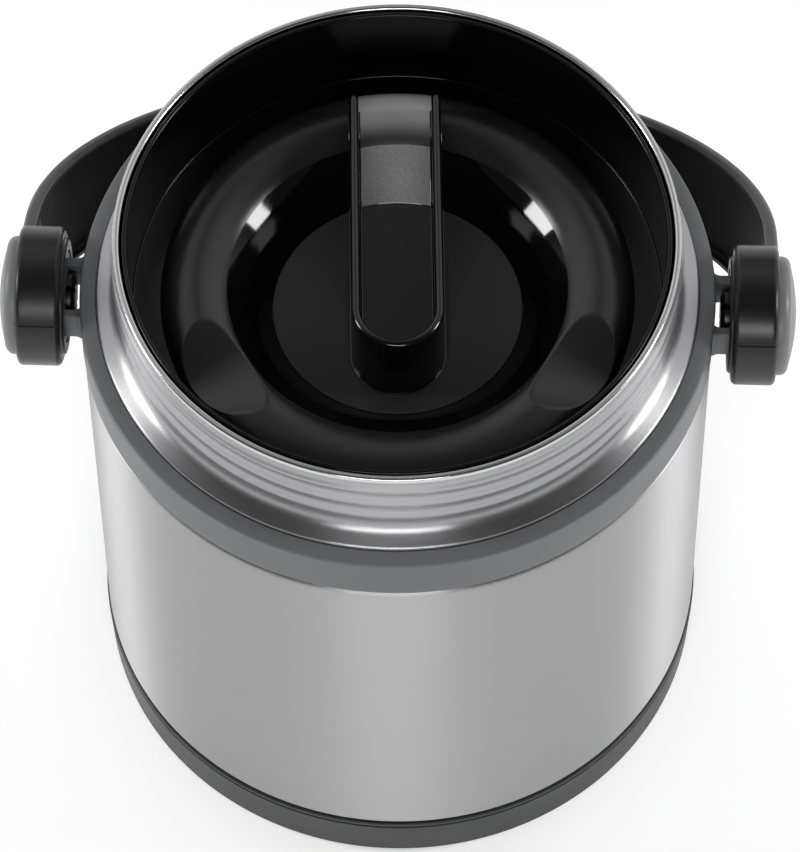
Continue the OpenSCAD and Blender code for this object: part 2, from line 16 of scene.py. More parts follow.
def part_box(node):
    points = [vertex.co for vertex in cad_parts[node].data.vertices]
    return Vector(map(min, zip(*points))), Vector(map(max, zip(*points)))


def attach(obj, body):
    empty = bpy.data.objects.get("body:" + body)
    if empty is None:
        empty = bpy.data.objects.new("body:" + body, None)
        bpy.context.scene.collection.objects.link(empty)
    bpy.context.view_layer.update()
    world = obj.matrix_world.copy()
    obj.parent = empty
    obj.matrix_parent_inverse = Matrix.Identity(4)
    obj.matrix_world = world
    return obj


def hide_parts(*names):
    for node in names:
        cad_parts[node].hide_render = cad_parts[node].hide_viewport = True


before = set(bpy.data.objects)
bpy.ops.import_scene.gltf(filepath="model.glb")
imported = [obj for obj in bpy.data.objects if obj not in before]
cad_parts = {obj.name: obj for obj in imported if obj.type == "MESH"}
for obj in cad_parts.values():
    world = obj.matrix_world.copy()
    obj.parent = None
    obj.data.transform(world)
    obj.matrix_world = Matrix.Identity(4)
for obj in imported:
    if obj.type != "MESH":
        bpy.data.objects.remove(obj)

LOG = logging.getLogger("food_jar")
MM = 0.001
# Points closer than this, in metres, are one point
WELD = 1e-6
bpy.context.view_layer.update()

Outline = list[tuple[float, float]]
Faces = list[tuple[int, ...]]
Shape = tuple[np.ndarray, Faces]
Grids = tuple[np.ndarray, np.ndarray]
Reshape = Callable[[np.ndarray, np.ndarray, np.ndarray], Grids]
Material = bpy.types.Material
Node = bpy.types.Node
Socket = bpy.types.NodeSocket
Tree = bpy.types.NodeTree


class Side(Enum):
    """The two ends of the bail's pivot axis."""

    LEFT = -1
    RIGHT = 1


# ---------------------------------------------------------------- mesh works


def arc(
    centre: Sequence[float], radius: float, start: float, end: float, steps: int = 8
) -> Outline:
    """Points of an arc.

    Args:
        centre: Its centre in the outline's plane, in mm.
        radius: Its radius in mm.
        start: Angle of its first point, in degrees.
        end: Angle of its last point, in degrees.
        steps: How many chords it is drawn with.

    Returns:
        The points from start to end, both included.
    """
    turns = np.radians(np.linspace(start, end, steps + 1))
    return [(centre[0] + radius * math.cos(t), centre[1] + radius * math.sin(t)) for t in turns]


def run(a: Sequence[float], b: Sequence[float], steps: int) -> Outline:
    """Points of a straight run.

    Args:
        a: First point, in mm.
        b: Last point, in mm.
        steps: How many pieces it is cut into.

    Returns:
        The points from a to b, both included.
    """
    return [
        (float(x), float(y))
        for x, y in zip(np.linspace(a[0], b[0], steps + 1), np.linspace(a[1], b[1], steps + 1))
    ]


def rounded(low: Sequence[float], high: Sequence[float], edge: float) -> Outline:
    """Points of a rectangle with rounded corners.

    Args:
        low: Its lower left corner, in mm.
        high: Its upper right corner, in mm.
        edge: Radius of its corners, in mm.

    Returns:
        The points, from the lower left corner counterclockwise.
    """
    (x0, y0), (x1, y1) = low, high
    return (
        arc((x0 + edge, y0 + edge), edge, 180, 270, 5)
        + arc((x1 - edge, y0 + edge), edge, 270, 360, 5)
        + arc((x1 - edge, y1 - edge), edge, 0, 90, 5)
        + arc((x0 + edge, y1 - edge), edge, 90, 180, 5)
    )


def turned(outline: Outline, segments: int = 256, reshape: Reshape | None = None) -> Shape:
    """Revolves an outline about Z.

    Args:
        outline: Radius and height of each point, in mm. It closes on itself, or runs
            from the axis to the axis.
        segments: Steps round the axis.
        reshape: Moves the points, given radius, height and angle as grids.

    Returns:
        The vertices in mm and the faces.
    """
    points = np.array(outline, float)
    open_ends = points[0, 0] < 1e-6 and points[-1, 0] < 1e-6
    angle = np.linspace(0, 2 * math.pi, segments, endpoint=False)
    radius = np.repeat(points[:, :1], segments, axis=1)
    height = np.repeat(points[:, 1:], segments, axis=1)
    theta = np.repeat(angle[None, :], len(points), axis=0)
    if reshape:
        radius, height = reshape(radius, height, theta)
    verts = np.stack(
        [radius * np.cos(theta), radius * np.sin(theta), height], axis=-1
    ).reshape(-1, 3)
    rows = len(points) - 1 if open_ends else len(points)
    i = np.arange(rows)[:, None]
    j = np.arange(segments)[None, :]
    k = (i + 1) % len(points)
    n = (j + 1) % segments
    quads = np.stack([i * segments + j, i * segments + n, k * segments + n, k * segments + j], -1)
    return verts, [tuple(q) for q in quads.reshape(-1, 4).tolist()]


def swept(sections: np.ndarray, closed_ends: bool = True) -> Shape:
    """Joins equal sections along a path.

    Args:
        sections: Array of stations x points x 3, in mm. Each section closes on itself.
        closed_ends: Whether the first and last section are capped.

    Returns:
        The vertices in mm and the faces.
    """
    stations, points = sections.shape[:2]
    i = np.arange(stations - 1)[:, None]
    j = np.arange(points)[None, :]
    n = (j + 1) % points
    quads = np.stack(
        [i * points + j, i * points + n, (i + 1) * points + n, (i + 1) * points + j], -1
    )
    faces: Faces = [tuple(q) for q in quads.reshape(-1, 4).tolist()]
    if closed_ends:
        last = (stations - 1) * points
        faces.append(tuple(range(points)))
        faces.append(tuple(range(last, last + points)))
    return sections.reshape(-1, 3), faces


def along_x(shape: Shape, start: float) -> Shape:
    """Lays a turned part on the X axis, with its foot at x = start (mm)."""
    verts, faces = shape
    return np.stack([verts[:, 2] + start, verts[:, 0], verts[:, 1]], axis=-1), faces


def make_piece(
    name: str, shape: Shape, finishes: Sequence[Material], body: str,
    stands_for: Sequence[str] = (), sharp: float = 32.0,
    pick: Callable[[np.ndarray], np.ndarray] | None = None,
) -> bpy.types.Object:
    """Makes one piece of the jar and lets it ride on its body.

    Args:
        name: The piece's name.
        shape: Its vertices in mm, in the row frame, and its faces.
        finishes: Its materials.
        body: The body that it rides on.
        stands_for: The nodes that it replaces.
        sharp: Angle in degrees from which an edge stays sharp.
        pick: Gives each face's material number from the face centres in mm.

    Returns:
        The piece.
    """
    verts, faces = shape
    mesh = bpy.data.meshes.new(name)
    mesh.from_pydata((verts * MM).tolist(), [], faces)
    work = bmesh.new()
    work.from_mesh(mesh)
    bmesh.ops.remove_doubles(work, verts=work.verts, dist=WELD)
    bmesh.ops.recalc_face_normals(work, faces=work.faces)
    if work.calc_volume(signed=True) < 0:
        bmesh.ops.reverse_faces(work, faces=work.faces)
    work.to_mesh(mesh)
    work.free()
    mesh.shade_smooth()
    mesh.set_sharp_from_angle(angle=math.radians(sharp))
    for finish in finishes:
        mesh.materials.append(finish)
    if pick:
        centres = np.array([f.center for f in mesh.polygons]) / MM
        mesh.polygons.foreach_set("material_index", pick(centres).astype(np.int32))
    piece = bpy.data.objects.new(name, mesh)
    bpy.context.scene.collection.objects.link(piece)
    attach(piece, body)
    if stands_for:
        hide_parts(*stands_for)
    LOG.info("%s: %d faces", name, len(mesh.polygons))
    return piece


# ----------------------------------------------------------------- finishes


def linear(code: str) -> tuple[float, float, float, float]:
    """Turns an sRGB hex colour such as #C0C0C0 into linear RGBA."""
    values = [int(code[i : i + 2], 16) / 255 for i in (1, 3, 5)]
    r, g, b = (v / 12.92 if v <= 0.04045 else ((v + 0.055) / 1.055) ** 2.4 for v in values)
    return (r, g, b, 1.0)


def add(
    tree: Tree, kind: str, inputs: dict[str | int, Any] | None = None, **settings: Any
) -> Node:
    """Adds a node.

    Args:
        tree: The node tree.
        kind: The node's type without the word ShaderNode.
        inputs: For each input, by name or number, a value, an output socket or a node,
            which stands for its first output.
        **settings: The node's own settings.

    Returns:
        The node.
    """
    node = tree.nodes.new("ShaderNode" + kind)
    for key, value in settings.items():
        setattr(node, key, value)
    for key, value in (inputs or {}).items():
        if isinstance(value, Node):
            value = value.outputs[0]
        if isinstance(value, Socket):
            tree.links.new(value, node.inputs[key])
        else:
            node.inputs[key].default_value = value
    return node


def blank(name: str) -> tuple[Material, Tree]:
    """Makes a material with an empty node tree.

    Args:
        name: The material's name.

    Returns:
        The material and its tree.
    """
    material = bpy.data.materials.new(name)
    material.use_nodes = True
    material.node_tree.nodes.clear()
    return material, material.node_tree


def close(tree: Tree, shader: Node) -> None:
    """Links a shader to the material's output."""
    add(tree, "OutputMaterial", {"Surface": shader})


@dataclass(frozen=True)
class SpunSteel:
    """Stainless steel sheet, ground with a belt while the vessel turns.

    The fine scratches run round the jar, so lights stretch into upright bands. They are
    drawn coarser than the real grit leaves them, so that they show.
    """

    name: str = "stainless_steel_brushed"
    colour: str = "#B8B8B9"
    dark: str = "#ACACAD"
    roughness: float = 0.4
    spread: float = 0.03
    stretch: float = 0.95
    grit_mm: float = 0.35
    scratch_mm: float = 26.0
    relief: float = 0.05
    radius_mm: float = 92.7

    def make(self) -> Material:
        """Builds the material."""
        material, tree = blank(self.name)
        where = add(tree, "TexCoord")
        axes = add(tree, "SeparateXYZ", {0: where.outputs["Object"]})
        turn = add(tree, "Math", {0: axes.outputs["Y"], 1: axes.outputs["X"]}, operation="ARCTAN2")
        round_way = add(
            tree, "Math", {0: turn, 1: self.radius_mm / self.scratch_mm}, operation="MULTIPLY"
        )
        up_way = add(
            tree, "Math", {0: axes.outputs["Z"], 1: 1 / (self.grit_mm * MM)}, operation="MULTIPLY"
        )
        place = add(tree, "CombineXYZ", {"X": round_way, "Y": up_way})
        scratches = add(tree, "TexNoise", {"Vector": place, "Scale": 1.0, "Detail": 3.0})
        colour = add(
            tree, "Mix", {"Factor": scratches, 6: linear(self.dark), 7: linear(self.colour)},
            data_type="RGBA",
        )
        rough = add(
            tree, "MapRange",
            {
                "Value": scratches, "To Min": self.roughness - self.spread,
                "To Max": self.roughness + self.spread,
            },
        )
        relief = add(
            tree, "Bump", {"Strength": self.relief, "Distance": 0.02 * MM, "Height": scratches}
        )
        along = add(tree, "Tangent", direction_type="RADIAL", axis="Z")
        shader = add(
            tree, "BsdfPrincipled",
            {
                "Base Color": colour.outputs[2], "Metallic": 1.0, "Roughness": rough,
                "Anisotropic": self.stretch, "Anisotropic Rotation": 0.25, "Normal": relief,
                "Tangent": along,
            },
        )
        close(tree, shader)
        return material


@dataclass(frozen=True)
class MouldedPlastic:
    """Injection-moulded plastic with the fine grain of its mould.

    The grain breaks up the gloss, and slow variation in it keeps large faces lively.
    Optionally the colour turns to a second one towards the axis, between two given distances from
    it: painted shade.
    """

    name: str
    colour: str
    roughness: float
    grain_mm: float = 0.35
    relief_mm: float = 0.012
    spread: float = 0.05
    patch_mm: float = 30.0
    ior: float = 1.5
    speck: float = 0.06
    painted_shade: str = ""
    painted_shade_mm: tuple[float, float] = (0.0, 0.0)

    def paint_shade(self, tree: Tree, where: Node, colour: Socket) -> Socket:
        """Paints shade: darkens the colour towards the axis, where the dome turns away from the
        light.

        Args:
            tree: The material's tree.
            where: The node with the coordinates.
            colour: The colour outside the painted shade.

        Returns:
            The colour with its fade.
        """
        flat = add(
            tree, "VectorMath", {0: where.outputs["Object"], 1: (1.0, 1.0, 0.0)},
            operation="MULTIPLY",
        )
        far = add(tree, "VectorMath", {0: flat}, operation="LENGTH")
        unshaded = add(
            tree, "MapRange",
            {
                "Value": far.outputs["Value"], "From Min": self.painted_shade_mm[0] * MM,
                "From Max": self.painted_shade_mm[1] * MM,
            },
            interpolation_type="SMOOTHSTEP",
        )
        shaded = add(
            tree, "Mix", {"Factor": unshaded, 6: linear(self.painted_shade), 7: colour}, data_type="RGBA"
        )
        return shaded.outputs[2]

    def make(self) -> Material:
        """Builds the material."""
        material, tree = blank(self.name)
        where = add(tree, "TexCoord")
        grain = add(
            tree, "TexNoise",
            {"Vector": where.outputs["Object"], "Scale": 1 / (self.grain_mm * MM), "Detail": 2.0},
        )
        patch = add(
            tree, "TexNoise",
            {"Vector": where.outputs["Object"], "Scale": 1 / (self.patch_mm * MM), "Detail": 2.0},
        )
        shade = tuple(c * (1 - self.speck) for c in linear(self.colour)[:3]) + (1.0,)
        colour = add(
            tree, "Mix", {"Factor": grain, 6: shade, 7: linear(self.colour)}, data_type="RGBA"
        )
        tint = colour.outputs[2]
        if self.painted_shade:
            tint = self.paint_shade(tree, where, tint)
        rough = add(
            tree, "MapRange",
            {
                "Value": patch, "From Min": 0.3, "From Max": 0.7,
                "To Min": max(self.roughness - self.spread, 0.02),
                "To Max": self.roughness + self.spread,
            },
        )
        relief = add(
            tree, "Bump", {"Strength": 1.0, "Distance": self.relief_mm * MM, "Height": grain}
        )
        shader = add(
            tree, "BsdfPrincipled",
            {"Base Color": tint, "Roughness": rough, "IOR": self.ior, "Normal": relief},
        )
        close(tree, shader)
        return material


def made(finish: SpunSteel | MouldedPlastic) -> Any:
    """Declares a finish whose material is built together with the jar."""
    return field(default_factory=finish.make)


@dataclass(frozen=True)
class Finishes:
    """All finishes of the jar."""

    # Brushed on the belt: upright bands of light, hair-fine lines round the jar
    body_steel: Material = made(SpunSteel())
    # Rolled and only lightly ground: brighter, with softer lines
    neck_steel: Material = made(
        SpunSteel(
            name="stainless_steel_rolled", colour="#B2B2B4", dark="#A6A6A8", roughness=0.32,
            stretch=0.82, grit_mm=0.5, radius_mm=82.0, relief=0.04,
        )
    )
    # Polished inside so that food rinses off
    liner_steel: Material = made(
        SpunSteel(
            name="stainless_steel_polished", colour="#D0D0D1", dark="#C8C8C9", roughness=0.16,
            stretch=0.3, relief=0.02, radius_mm=86.0,
        )
    )
    # Polypropylene from an eroded mould: even grey, low gloss
    collar_grey: Material = made(
        MouldedPlastic("polypropylene_grey", "#66686B", 0.42, grain_mm=0.4, relief_mm=0.01)
    )
    cap_grey: Material = made(
        MouldedPlastic("polypropylene_cap_grey", "#787A7D", 0.4, grain_mm=0.4, relief_mm=0.01)
    )
    # The same plastic in a darker grey
    base_grey: Material = made(
        MouldedPlastic("polypropylene_dark_grey", "#252628", 0.45, grain_mm=0.4, relief_mm=0.01)
    )
    # ABS from a polished mould: black, mirrors the room
    gloss_black: Material = made(
        MouldedPlastic(
            "abs_gloss_black", "#070708", 0.055, grain_mm=0.8, relief_mm=0.0006, spread=0.015,
            ior=1.52,
        )
    )
    # ABS from a lightly eroded mould: black with soft highlights
    satin_black: Material = made(
        MouldedPlastic("abs_satin_black", "#0F0F10", 0.34, grain_mm=0.35, relief_mm=0.012)
    )
    # Inside of the strap: a coarser grain, in a darker and duller copy of the strap's black
    # that paints the shade in the channel
    channel_black_painted_shade: Material = made(
        MouldedPlastic(
            "abs_channel_black", "#0A0A0B", 0.55, grain_mm=0.5, relief_mm=0.02, ior=1.25
        )
    )
    # The grip bar is polished like the basin, but its mould is more worn
    grip_black: Material = made(
        MouldedPlastic(
            "abs_grip_black", "#09090A", 0.12, grain_mm=0.4, relief_mm=0.001, spread=0.02
        )
    )
    # The sleeve's mould is less polished: it mirrors only softly
    sleeve_black: Material = made(
        MouldedPlastic(
            "abs_sleeve_black", "#040405", 0.15, grain_mm=0.5, relief_mm=0.001, spread=0.02,
            ior=1.4,
        )
    )
    # The grip ring is a shade softer than the basin, so fingers leave no marks
    ring_black: Material = made(
        MouldedPlastic(
            "abs_ring_black", "#1F1F20", 0.25, grain_mm=0.4, relief_mm=0.002, spread=0.02
        )
    )
    # Fine grain on the crown where the grip bar crosses it. Its pale colour is a painted
    # highlight, and its darkening towards the basin is painted shade, where the dome turns away
    # from the light
    crown_grain_painted_light: Material = made(
        MouldedPlastic(
            "abs_grained_crown", "#B4B4B6", 0.42, grain_mm=0.4, relief_mm=0.03, speck=0.2,
            painted_shade="#343435", painted_shade_mm=(50.5, 58.0),
        )
    )
    # Matte disc: fine grain that kills reflections
    matte_black: Material = made(
        MouldedPlastic("abs_matte_black", "#242425", 0.62, grain_mm=0.3, relief_mm=0.02)
    )
    # Spark-eroded field on the thumb ramp. Its pale colour and speckle are painted highlight:
    # the black plastic catching the front light grain by grain. The real grain is about
    # 0.2 mm wide and is drawn coarser, so that it shows
    eroded_black_painted_light: Material = made(
        MouldedPlastic(
            "abs_spark_eroded_painted_light", "#B8B8BA", 0.4, grain_mm=0.55, relief_mm=0.2, spread=0.02,
            speck=0.65,
        )
    )
    # Food-grade silicone: milky grey, soft sheen
    silicone: Material = made(
        MouldedPlastic("silicone_grey", "#B6B9BA", 0.5, grain_mm=0.6, relief_mm=0.01, ior=1.42)
    )
    # Rubber pad: dull, with fine pimples
    rubber: Material = made(
        MouldedPlastic("rubber_black", "#262627", 0.7, grain_mm=0.9, relief_mm=0.05)
    )
    # Foamed polyurethane: cream with open cells
    foam: Material = made(
        MouldedPlastic("polyurethane_foam", "#E3DCC4", 0.85, grain_mm=1.2, relief_mm=0.3)
    )
    # Copper and nickel braze, dull gold
    braze: Material = made(
        SpunSteel(name="braze_alloy", colour="#B59A62", dark="#9C8450", stretch=0.0)
    )
    # Rolled foil, wrinkled and bright
    foil: Material = made(
        SpunSteel(
            name="aluminium_foil", colour="#D5D6D8", dark="#C4C5C7", roughness=0.2, grit_mm=3.0,
            relief=0.5, stretch=0.0,
        )
    )


# -------------------------------------------------------------------- sizes


@dataclass(frozen=True)
class JarSizes:
    """Driving sizes of the jar in mm, read from the frame where it states them."""

    rim_z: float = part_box("inner_liner")[1].z / MM
    body_r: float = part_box("outer_shell")[1].y / MM
    base_r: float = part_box("base_cup")[1].y / MM
    shell_z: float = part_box("outer_shell")[0].z / MM
    lip_z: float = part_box("outer_shell")[1].z / MM
    collar_r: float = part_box("collar")[1].y / MM
    plate_x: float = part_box("collar")[1].x / MM
    pivot_z: float = (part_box("collar")[0].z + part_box("collar")[1].z) / 2 / MM
    sleeve_r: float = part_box("stopper_bowl")[1].y / MM
    edge_z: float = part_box("stopper_bowl")[1].z / MM
    skirt_z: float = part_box("stopper_bowl")[0].z / MM
    sheet: float = 0.7
    shoulder_w: float = 10.7
    collar_h: float = 17.5
    collar_t: float = 4.8
    base_h: float = 19.7
    seat_gap: float = 0.1

    @property
    def neck_r(self) -> float:
        """Outer radius of the neck."""
        return self.body_r - self.shoulder_w

    @property
    def collar_top(self) -> float:
        """Height of the collar's upper edge."""
        return self.pivot_z + self.collar_h / 2

    @property
    def collar_low(self) -> float:
        """Height of the collar's lower edge."""
        return self.pivot_z - self.collar_h / 2


SIZES = JarSizes()


# ------------------------------------------------------------------- vessel


@dataclass
class Vessel:
    """The steel vessel: an outer shell with a threaded neck, and a liner."""

    finishes: Finishes
    thread_pitch: float = 6.9
    thread_rise: float = 0.85
    thread_front_z: float = 196.3
    thread_top_z: float = 205.5
    thread_low_z: float = 184.0
    thread_fade: tuple[float, float] = (2.0, 1.5)
    thread_crest: float = 1.3
    neck_steps: int = 60
    body_edge: float = 1.6
    low_edge: float = 1.1
    wall_end: float = 6.0
    step_up: float = 1.2
    shoulder_edge: float = 0.9
    shoulder_up: float = 1.2
    shoulder_rise: float = 1.9
    foot_fillet: float = 4.2
    wall_in: float = 2.4
    liner_r: float = 86.1
    mouth_r: float = 80.0
    floor_z: float = 27.0
    floor_corner: float = 16.0
    bead_r: float = 4.0
    bead_reach: float = 1.3
    bead_z: float = 157.45
    liner_shoulder: float = 10.0
    liner_slope: float = 24.0

    def shell_outline(self, inset: float) -> Outline:
        """Outline of the shell from its lower edge to its lip.

        Args:
            inset: How far inside the outer face it lies, in mm.

        Returns:
            The outline.
        """
        s = SIZES
        low_r = s.body_r - self.wall_in
        step_r = s.collar_r - s.collar_t - s.seat_gap
        neck_foot = s.collar_top + self.shoulder_rise + self.foot_fillet
        up, low, edge, soft = self.step_up, self.low_edge, self.body_edge, self.shoulder_edge
        start, end = s.base_h + self.wall_end, s.collar_low - self.wall_end
        return (
            [(low_r - inset, s.shell_z)]
            + arc((low_r + up, s.base_h - up), up + inset, 180, 90)
            + arc((s.body_r - low, s.base_h + low), low - inset, -90, 0)
            + run((s.body_r - inset, start), (s.body_r - inset, end), 24)
            + arc((s.body_r - edge, s.collar_low - edge), edge - inset, 0, 90)
            + [(step_r - inset, s.collar_low - inset)]
            + arc((step_r - soft, s.collar_top + self.shoulder_up - soft), soft - inset, 0, 75)
            + arc((s.neck_r + self.foot_fillet, neck_foot), self.foot_fillet + inset, 255, 180)
            + run(
                (s.neck_r - inset, neck_foot + 0.4), (s.neck_r - inset, s.lip_z), self.neck_steps
            )
        )

    def roll_threads(self, radius: np.ndarray, height: np.ndarray, theta: np.ndarray) -> Grids:
        """Rolls the thread's helical ridges into the neck."""
        low_fade, top_fade = self.thread_fade
        fade = np.clip((self.thread_top_z - height) / top_fade, 0, 1)
        fade *= np.clip((height - self.thread_low_z) / low_fade, 0, 1)
        on_neck = radius < SIZES.neck_r + 0.05
        phase = (height - self.thread_front_z) / self.thread_pitch
        phase = phase + (theta + math.pi / 2) / (2 * math.pi)
        ridge = (0.5 + 0.5 * np.cos(2 * math.pi * phase)) ** self.thread_crest
        return radius + np.where(on_neck, self.thread_rise * ridge * fade, 0), height

    def build(self) -> None:
        """Builds the shell and the liner."""
        s = SIZES
        outline = self.shell_outline(0) + self.shell_outline(s.sheet)[::-1]
        neck = s.collar_low + 0.3
        make_piece(
            "outer_shell_rolled", turned(outline, 512, self.roll_threads),
            [self.finishes.body_steel, self.finishes.neck_steel], "root", ["outer_shell"],
            pick=lambda c: (c[:, 2] > neck).astype(int),
        )
        roll = (s.rim_z - s.lip_z) / 2
        outline = (
            self.liner_outline(0)[::-1]
            + arc((self.mouth_r + roll, s.rim_z - roll), roll, 180, 90)
            + arc((s.neck_r - roll, s.rim_z - roll), roll, 90, 0)
            + [(s.neck_r, s.lip_z)]
            + self.liner_outline(s.sheet)
        )
        make_piece(
            "inner_liner_spun", turned(outline, 384), [self.finishes.liner_steel], "root",
            ["inner_liner"],
        )

    def liner_outline(self, offset: float) -> Outline:
        """Outline of the liner from under its lip to the middle of its floor.

        Args:
            offset: How far outside the inner face it lies, in mm.

        Returns:
            The outline.
        """
        s = SIZES
        centre_r = self.mouth_r - self.bead_reach + self.bead_r
        start = 180 - math.degrees(
            math.acos((centre_r - self.mouth_r - offset) / (self.bead_r - offset))
        )
        slope, bend, corner = self.liner_slope, self.liner_shoulder, self.floor_corner
        return (
            run(
                (self.mouth_r + offset, s.lip_z),
                (self.mouth_r + offset, self.bead_z + self.wall_end), 10,
            )
            + arc((centre_r, self.bead_z), self.bead_r - offset, start, 180 + 2 * slope)
            + arc((self.liner_r - bend, self.bead_z - 2 * bend), bend + offset, 90 - slope, 0)
            + arc((self.liner_r - corner, self.floor_z + corner), corner + offset, 0, -90, 14)
            + [(0, self.floor_z - offset)]
        )


@dataclass
class Base:
    """The plastic base with its rubber pad."""

    finishes: Finishes
    taper: float = 0.6
    gap: float = 0.7
    wall: float = 2.3
    proud: float = 0.8
    sunk: float = 1.2
    foot_r: float = 84.0
    edge: float = 1.2
    line: float = 0.6
    line_down: float = 1.6
    line_draft: float = 0.15
    groove: float = 0.9
    soft: float = 0.3
    top_edge: float = 0.5
    lip: float = 1.2
    ledge_w: float = 4.0
    ledge_slope: float = 2.0
    pad_cover: float = 1.4
    pad_rings: int = 9
    rib: tuple[float, float, float] = (1.2, 0.7, 0.5)

    def build(self) -> None:
        """Builds the base and the pad."""
        s = SIZES
        low_r = s.body_r - self.wall - s.seat_gap
        top = s.base_h - self.gap
        in_r = low_r + s.seat_gap
        foot_r = s.base_r - self.taper
        line_z = top - self.line_down
        draft_r, groove_r = s.base_r - self.line_draft, s.base_r - self.groove
        seat = s.shell_z - s.seat_gap
        floor = self.proud + self.sunk + self.pad_cover
        soft, edge, round_r = self.soft, self.edge, self.top_edge
        ledge_r = in_r - self.ledge_w
        recess = self.proud + self.sunk + s.seat_gap
        outline = (
            [(0, recess), (self.foot_r + s.seat_gap, recess)]
            + arc((self.foot_r + s.seat_gap + soft, self.proud + soft), soft, 180, 270, 3)
            + arc((foot_r - edge, self.proud + edge), edge, -90, 0)
            + run((foot_r, self.proud + edge + 0.5), (s.base_r, line_z - self.line - 0.2), 6)
            + [(draft_r, line_z - self.line), (groove_r, line_z - self.line)]
            + [(groove_r, line_z), (draft_r, line_z), (s.base_r, line_z + 0.2)]
            + arc((s.base_r - round_r, top - round_r), round_r, 0, 90, 4)
            + [(low_r + self.lip, top), (in_r, top - self.lip), (in_r, seat), (ledge_r, seat)]
            + [(ledge_r, floor + self.ledge_slope), (ledge_r - self.ledge_slope, floor)]
            + [(0, floor)]
        )
        make_piece(
            "base_cup_moulded", turned(outline, 320), [self.finishes.base_grey], "root",
            ["base_cup"],
        )
        wide, narrow, deep = self.rib
        pad: Outline = [(0, 0)]
        for ring in range(1, self.pad_rings):
            r = self.foot_r * ring / self.pad_rings
            pad += [(r - wide, 0), (r - narrow, deep), (r + narrow, deep), (r + wide, 0)]
        top_z = self.proud + self.sunk
        pad += arc((self.foot_r - round_r, round_r), round_r, -90, 0, 4)
        pad += [(self.foot_r, top_z), (0, top_z)]
        make_piece(
            "foot_pad_ribbed", turned(pad, 256), [self.finishes.rubber], "root", ["foot_pad"],
        )


@dataclass
class Collar:
    """The grey collar with its two pivot lugs."""

    finishes: Finishes
    drop: float = 0.7
    edge: float = 0.7
    reveal: float = 1.3
    line_in: float = 1.6
    flares: tuple[tuple[float, float], ...] = ((-0.2, 0.8), (0.5, 0.25), (1.3, 0.0))
    ear_gap: float = 15.2
    ear_t: float = 2.8
    ear_h: float = 11.1
    ear_up: float = 5.2
    ear_edge: float = 0.6
    plate_r: float = 13.5
    plate_t: float = 1.7
    plate_edge: float = 0.5
    bore_r: float = 6.18
    bore_lead: float = 0.2
    seat_edge: float = 0.35

    def build(self) -> None:
        """Builds the band, the ears and the plates."""
        s = SIZES
        in_r, line_r = s.collar_r - s.collar_t, s.collar_r - self.line_in
        edge, soft, top = self.edge, self.seat_edge, s.collar_top - self.drop
        outline = (
            [(in_r, s.collar_low), (line_r, s.collar_low), (line_r, s.collar_low + self.reveal)]
            + arc((s.collar_r - edge, s.collar_low + self.reveal + edge), edge, -90, 0, 6)
            + run((s.collar_r, s.collar_low + 2), (s.collar_r, top - edge - 0.5), 6)
            + arc((s.collar_r - edge, top - edge), edge, 0, 82, 6)
            + arc((in_r + soft, s.collar_top - soft), soft, 90, 180, 3)
        )
        make_piece(
            "collar_band", turned(outline, 384), [self.finishes.collar_grey], "root", ["collar"],
        )
        for side in Side:
            self.build_lug(side)

    def build_lug(self, side: Side) -> None:
        """Builds the ears and the pivot plate of one side."""
        s = SIZES
        tag = side.name.lower()
        edge, lead = self.plate_edge, self.bore_lead
        outline = (
            [(self.bore_r, lead), (self.bore_r + lead, 0)]
            + arc((self.plate_r - edge, edge), edge, -90, 0, 5)
            + arc((self.plate_r - edge, self.plate_t - edge), edge, 0, 90, 5)
            + [(self.bore_r + lead, self.plate_t), (self.bore_r, self.plate_t - lead)]
        )
        verts, faces = along_x(turned(outline, 128), s.plate_x - self.plate_t)
        verts = verts * (side.value, 1, 1) + (0, 0, s.pivot_z)
        make_piece(
            f"pivot_plate_{tag}", (verts, faces), [self.finishes.collar_grey], "root", (),
        )
        inner_x = s.collar_r - s.collar_t / 2
        outer_x = s.plate_x - self.plate_t + 0.3
        for way, word in ((-1, "front"), (1, "back")):
            middle = way * (self.ear_gap + self.ear_t) / 2
            half_t, half_h = self.ear_t / 2, self.ear_h / 2
            middle_z = s.pivot_z + self.ear_up - half_h
            section = rounded((-half_t, -half_h), (half_t, half_h), self.ear_edge)
            # The ear flares a little where it grows out of the collar
            steps = [
                (inner_x, 0.9), *((s.collar_r + x, wide) for x, wide in self.flares),
                (outer_x, 0.0),
            ]
            stations = [
                [
                    (
                        side.value * x, middle + y * (1 + wide / self.ear_t),
                        middle_z + z * (1 + wide / self.ear_h),
                    )
                    for y, z in section
                ]
                for x, wide in steps
            ]
            make_piece(
                f"pivot_ear_{word}_{tag}", swept(np.array(stations)), [self.finishes.collar_grey],
                "root", (),
            )


# --------------------------------------------------------------------- bail


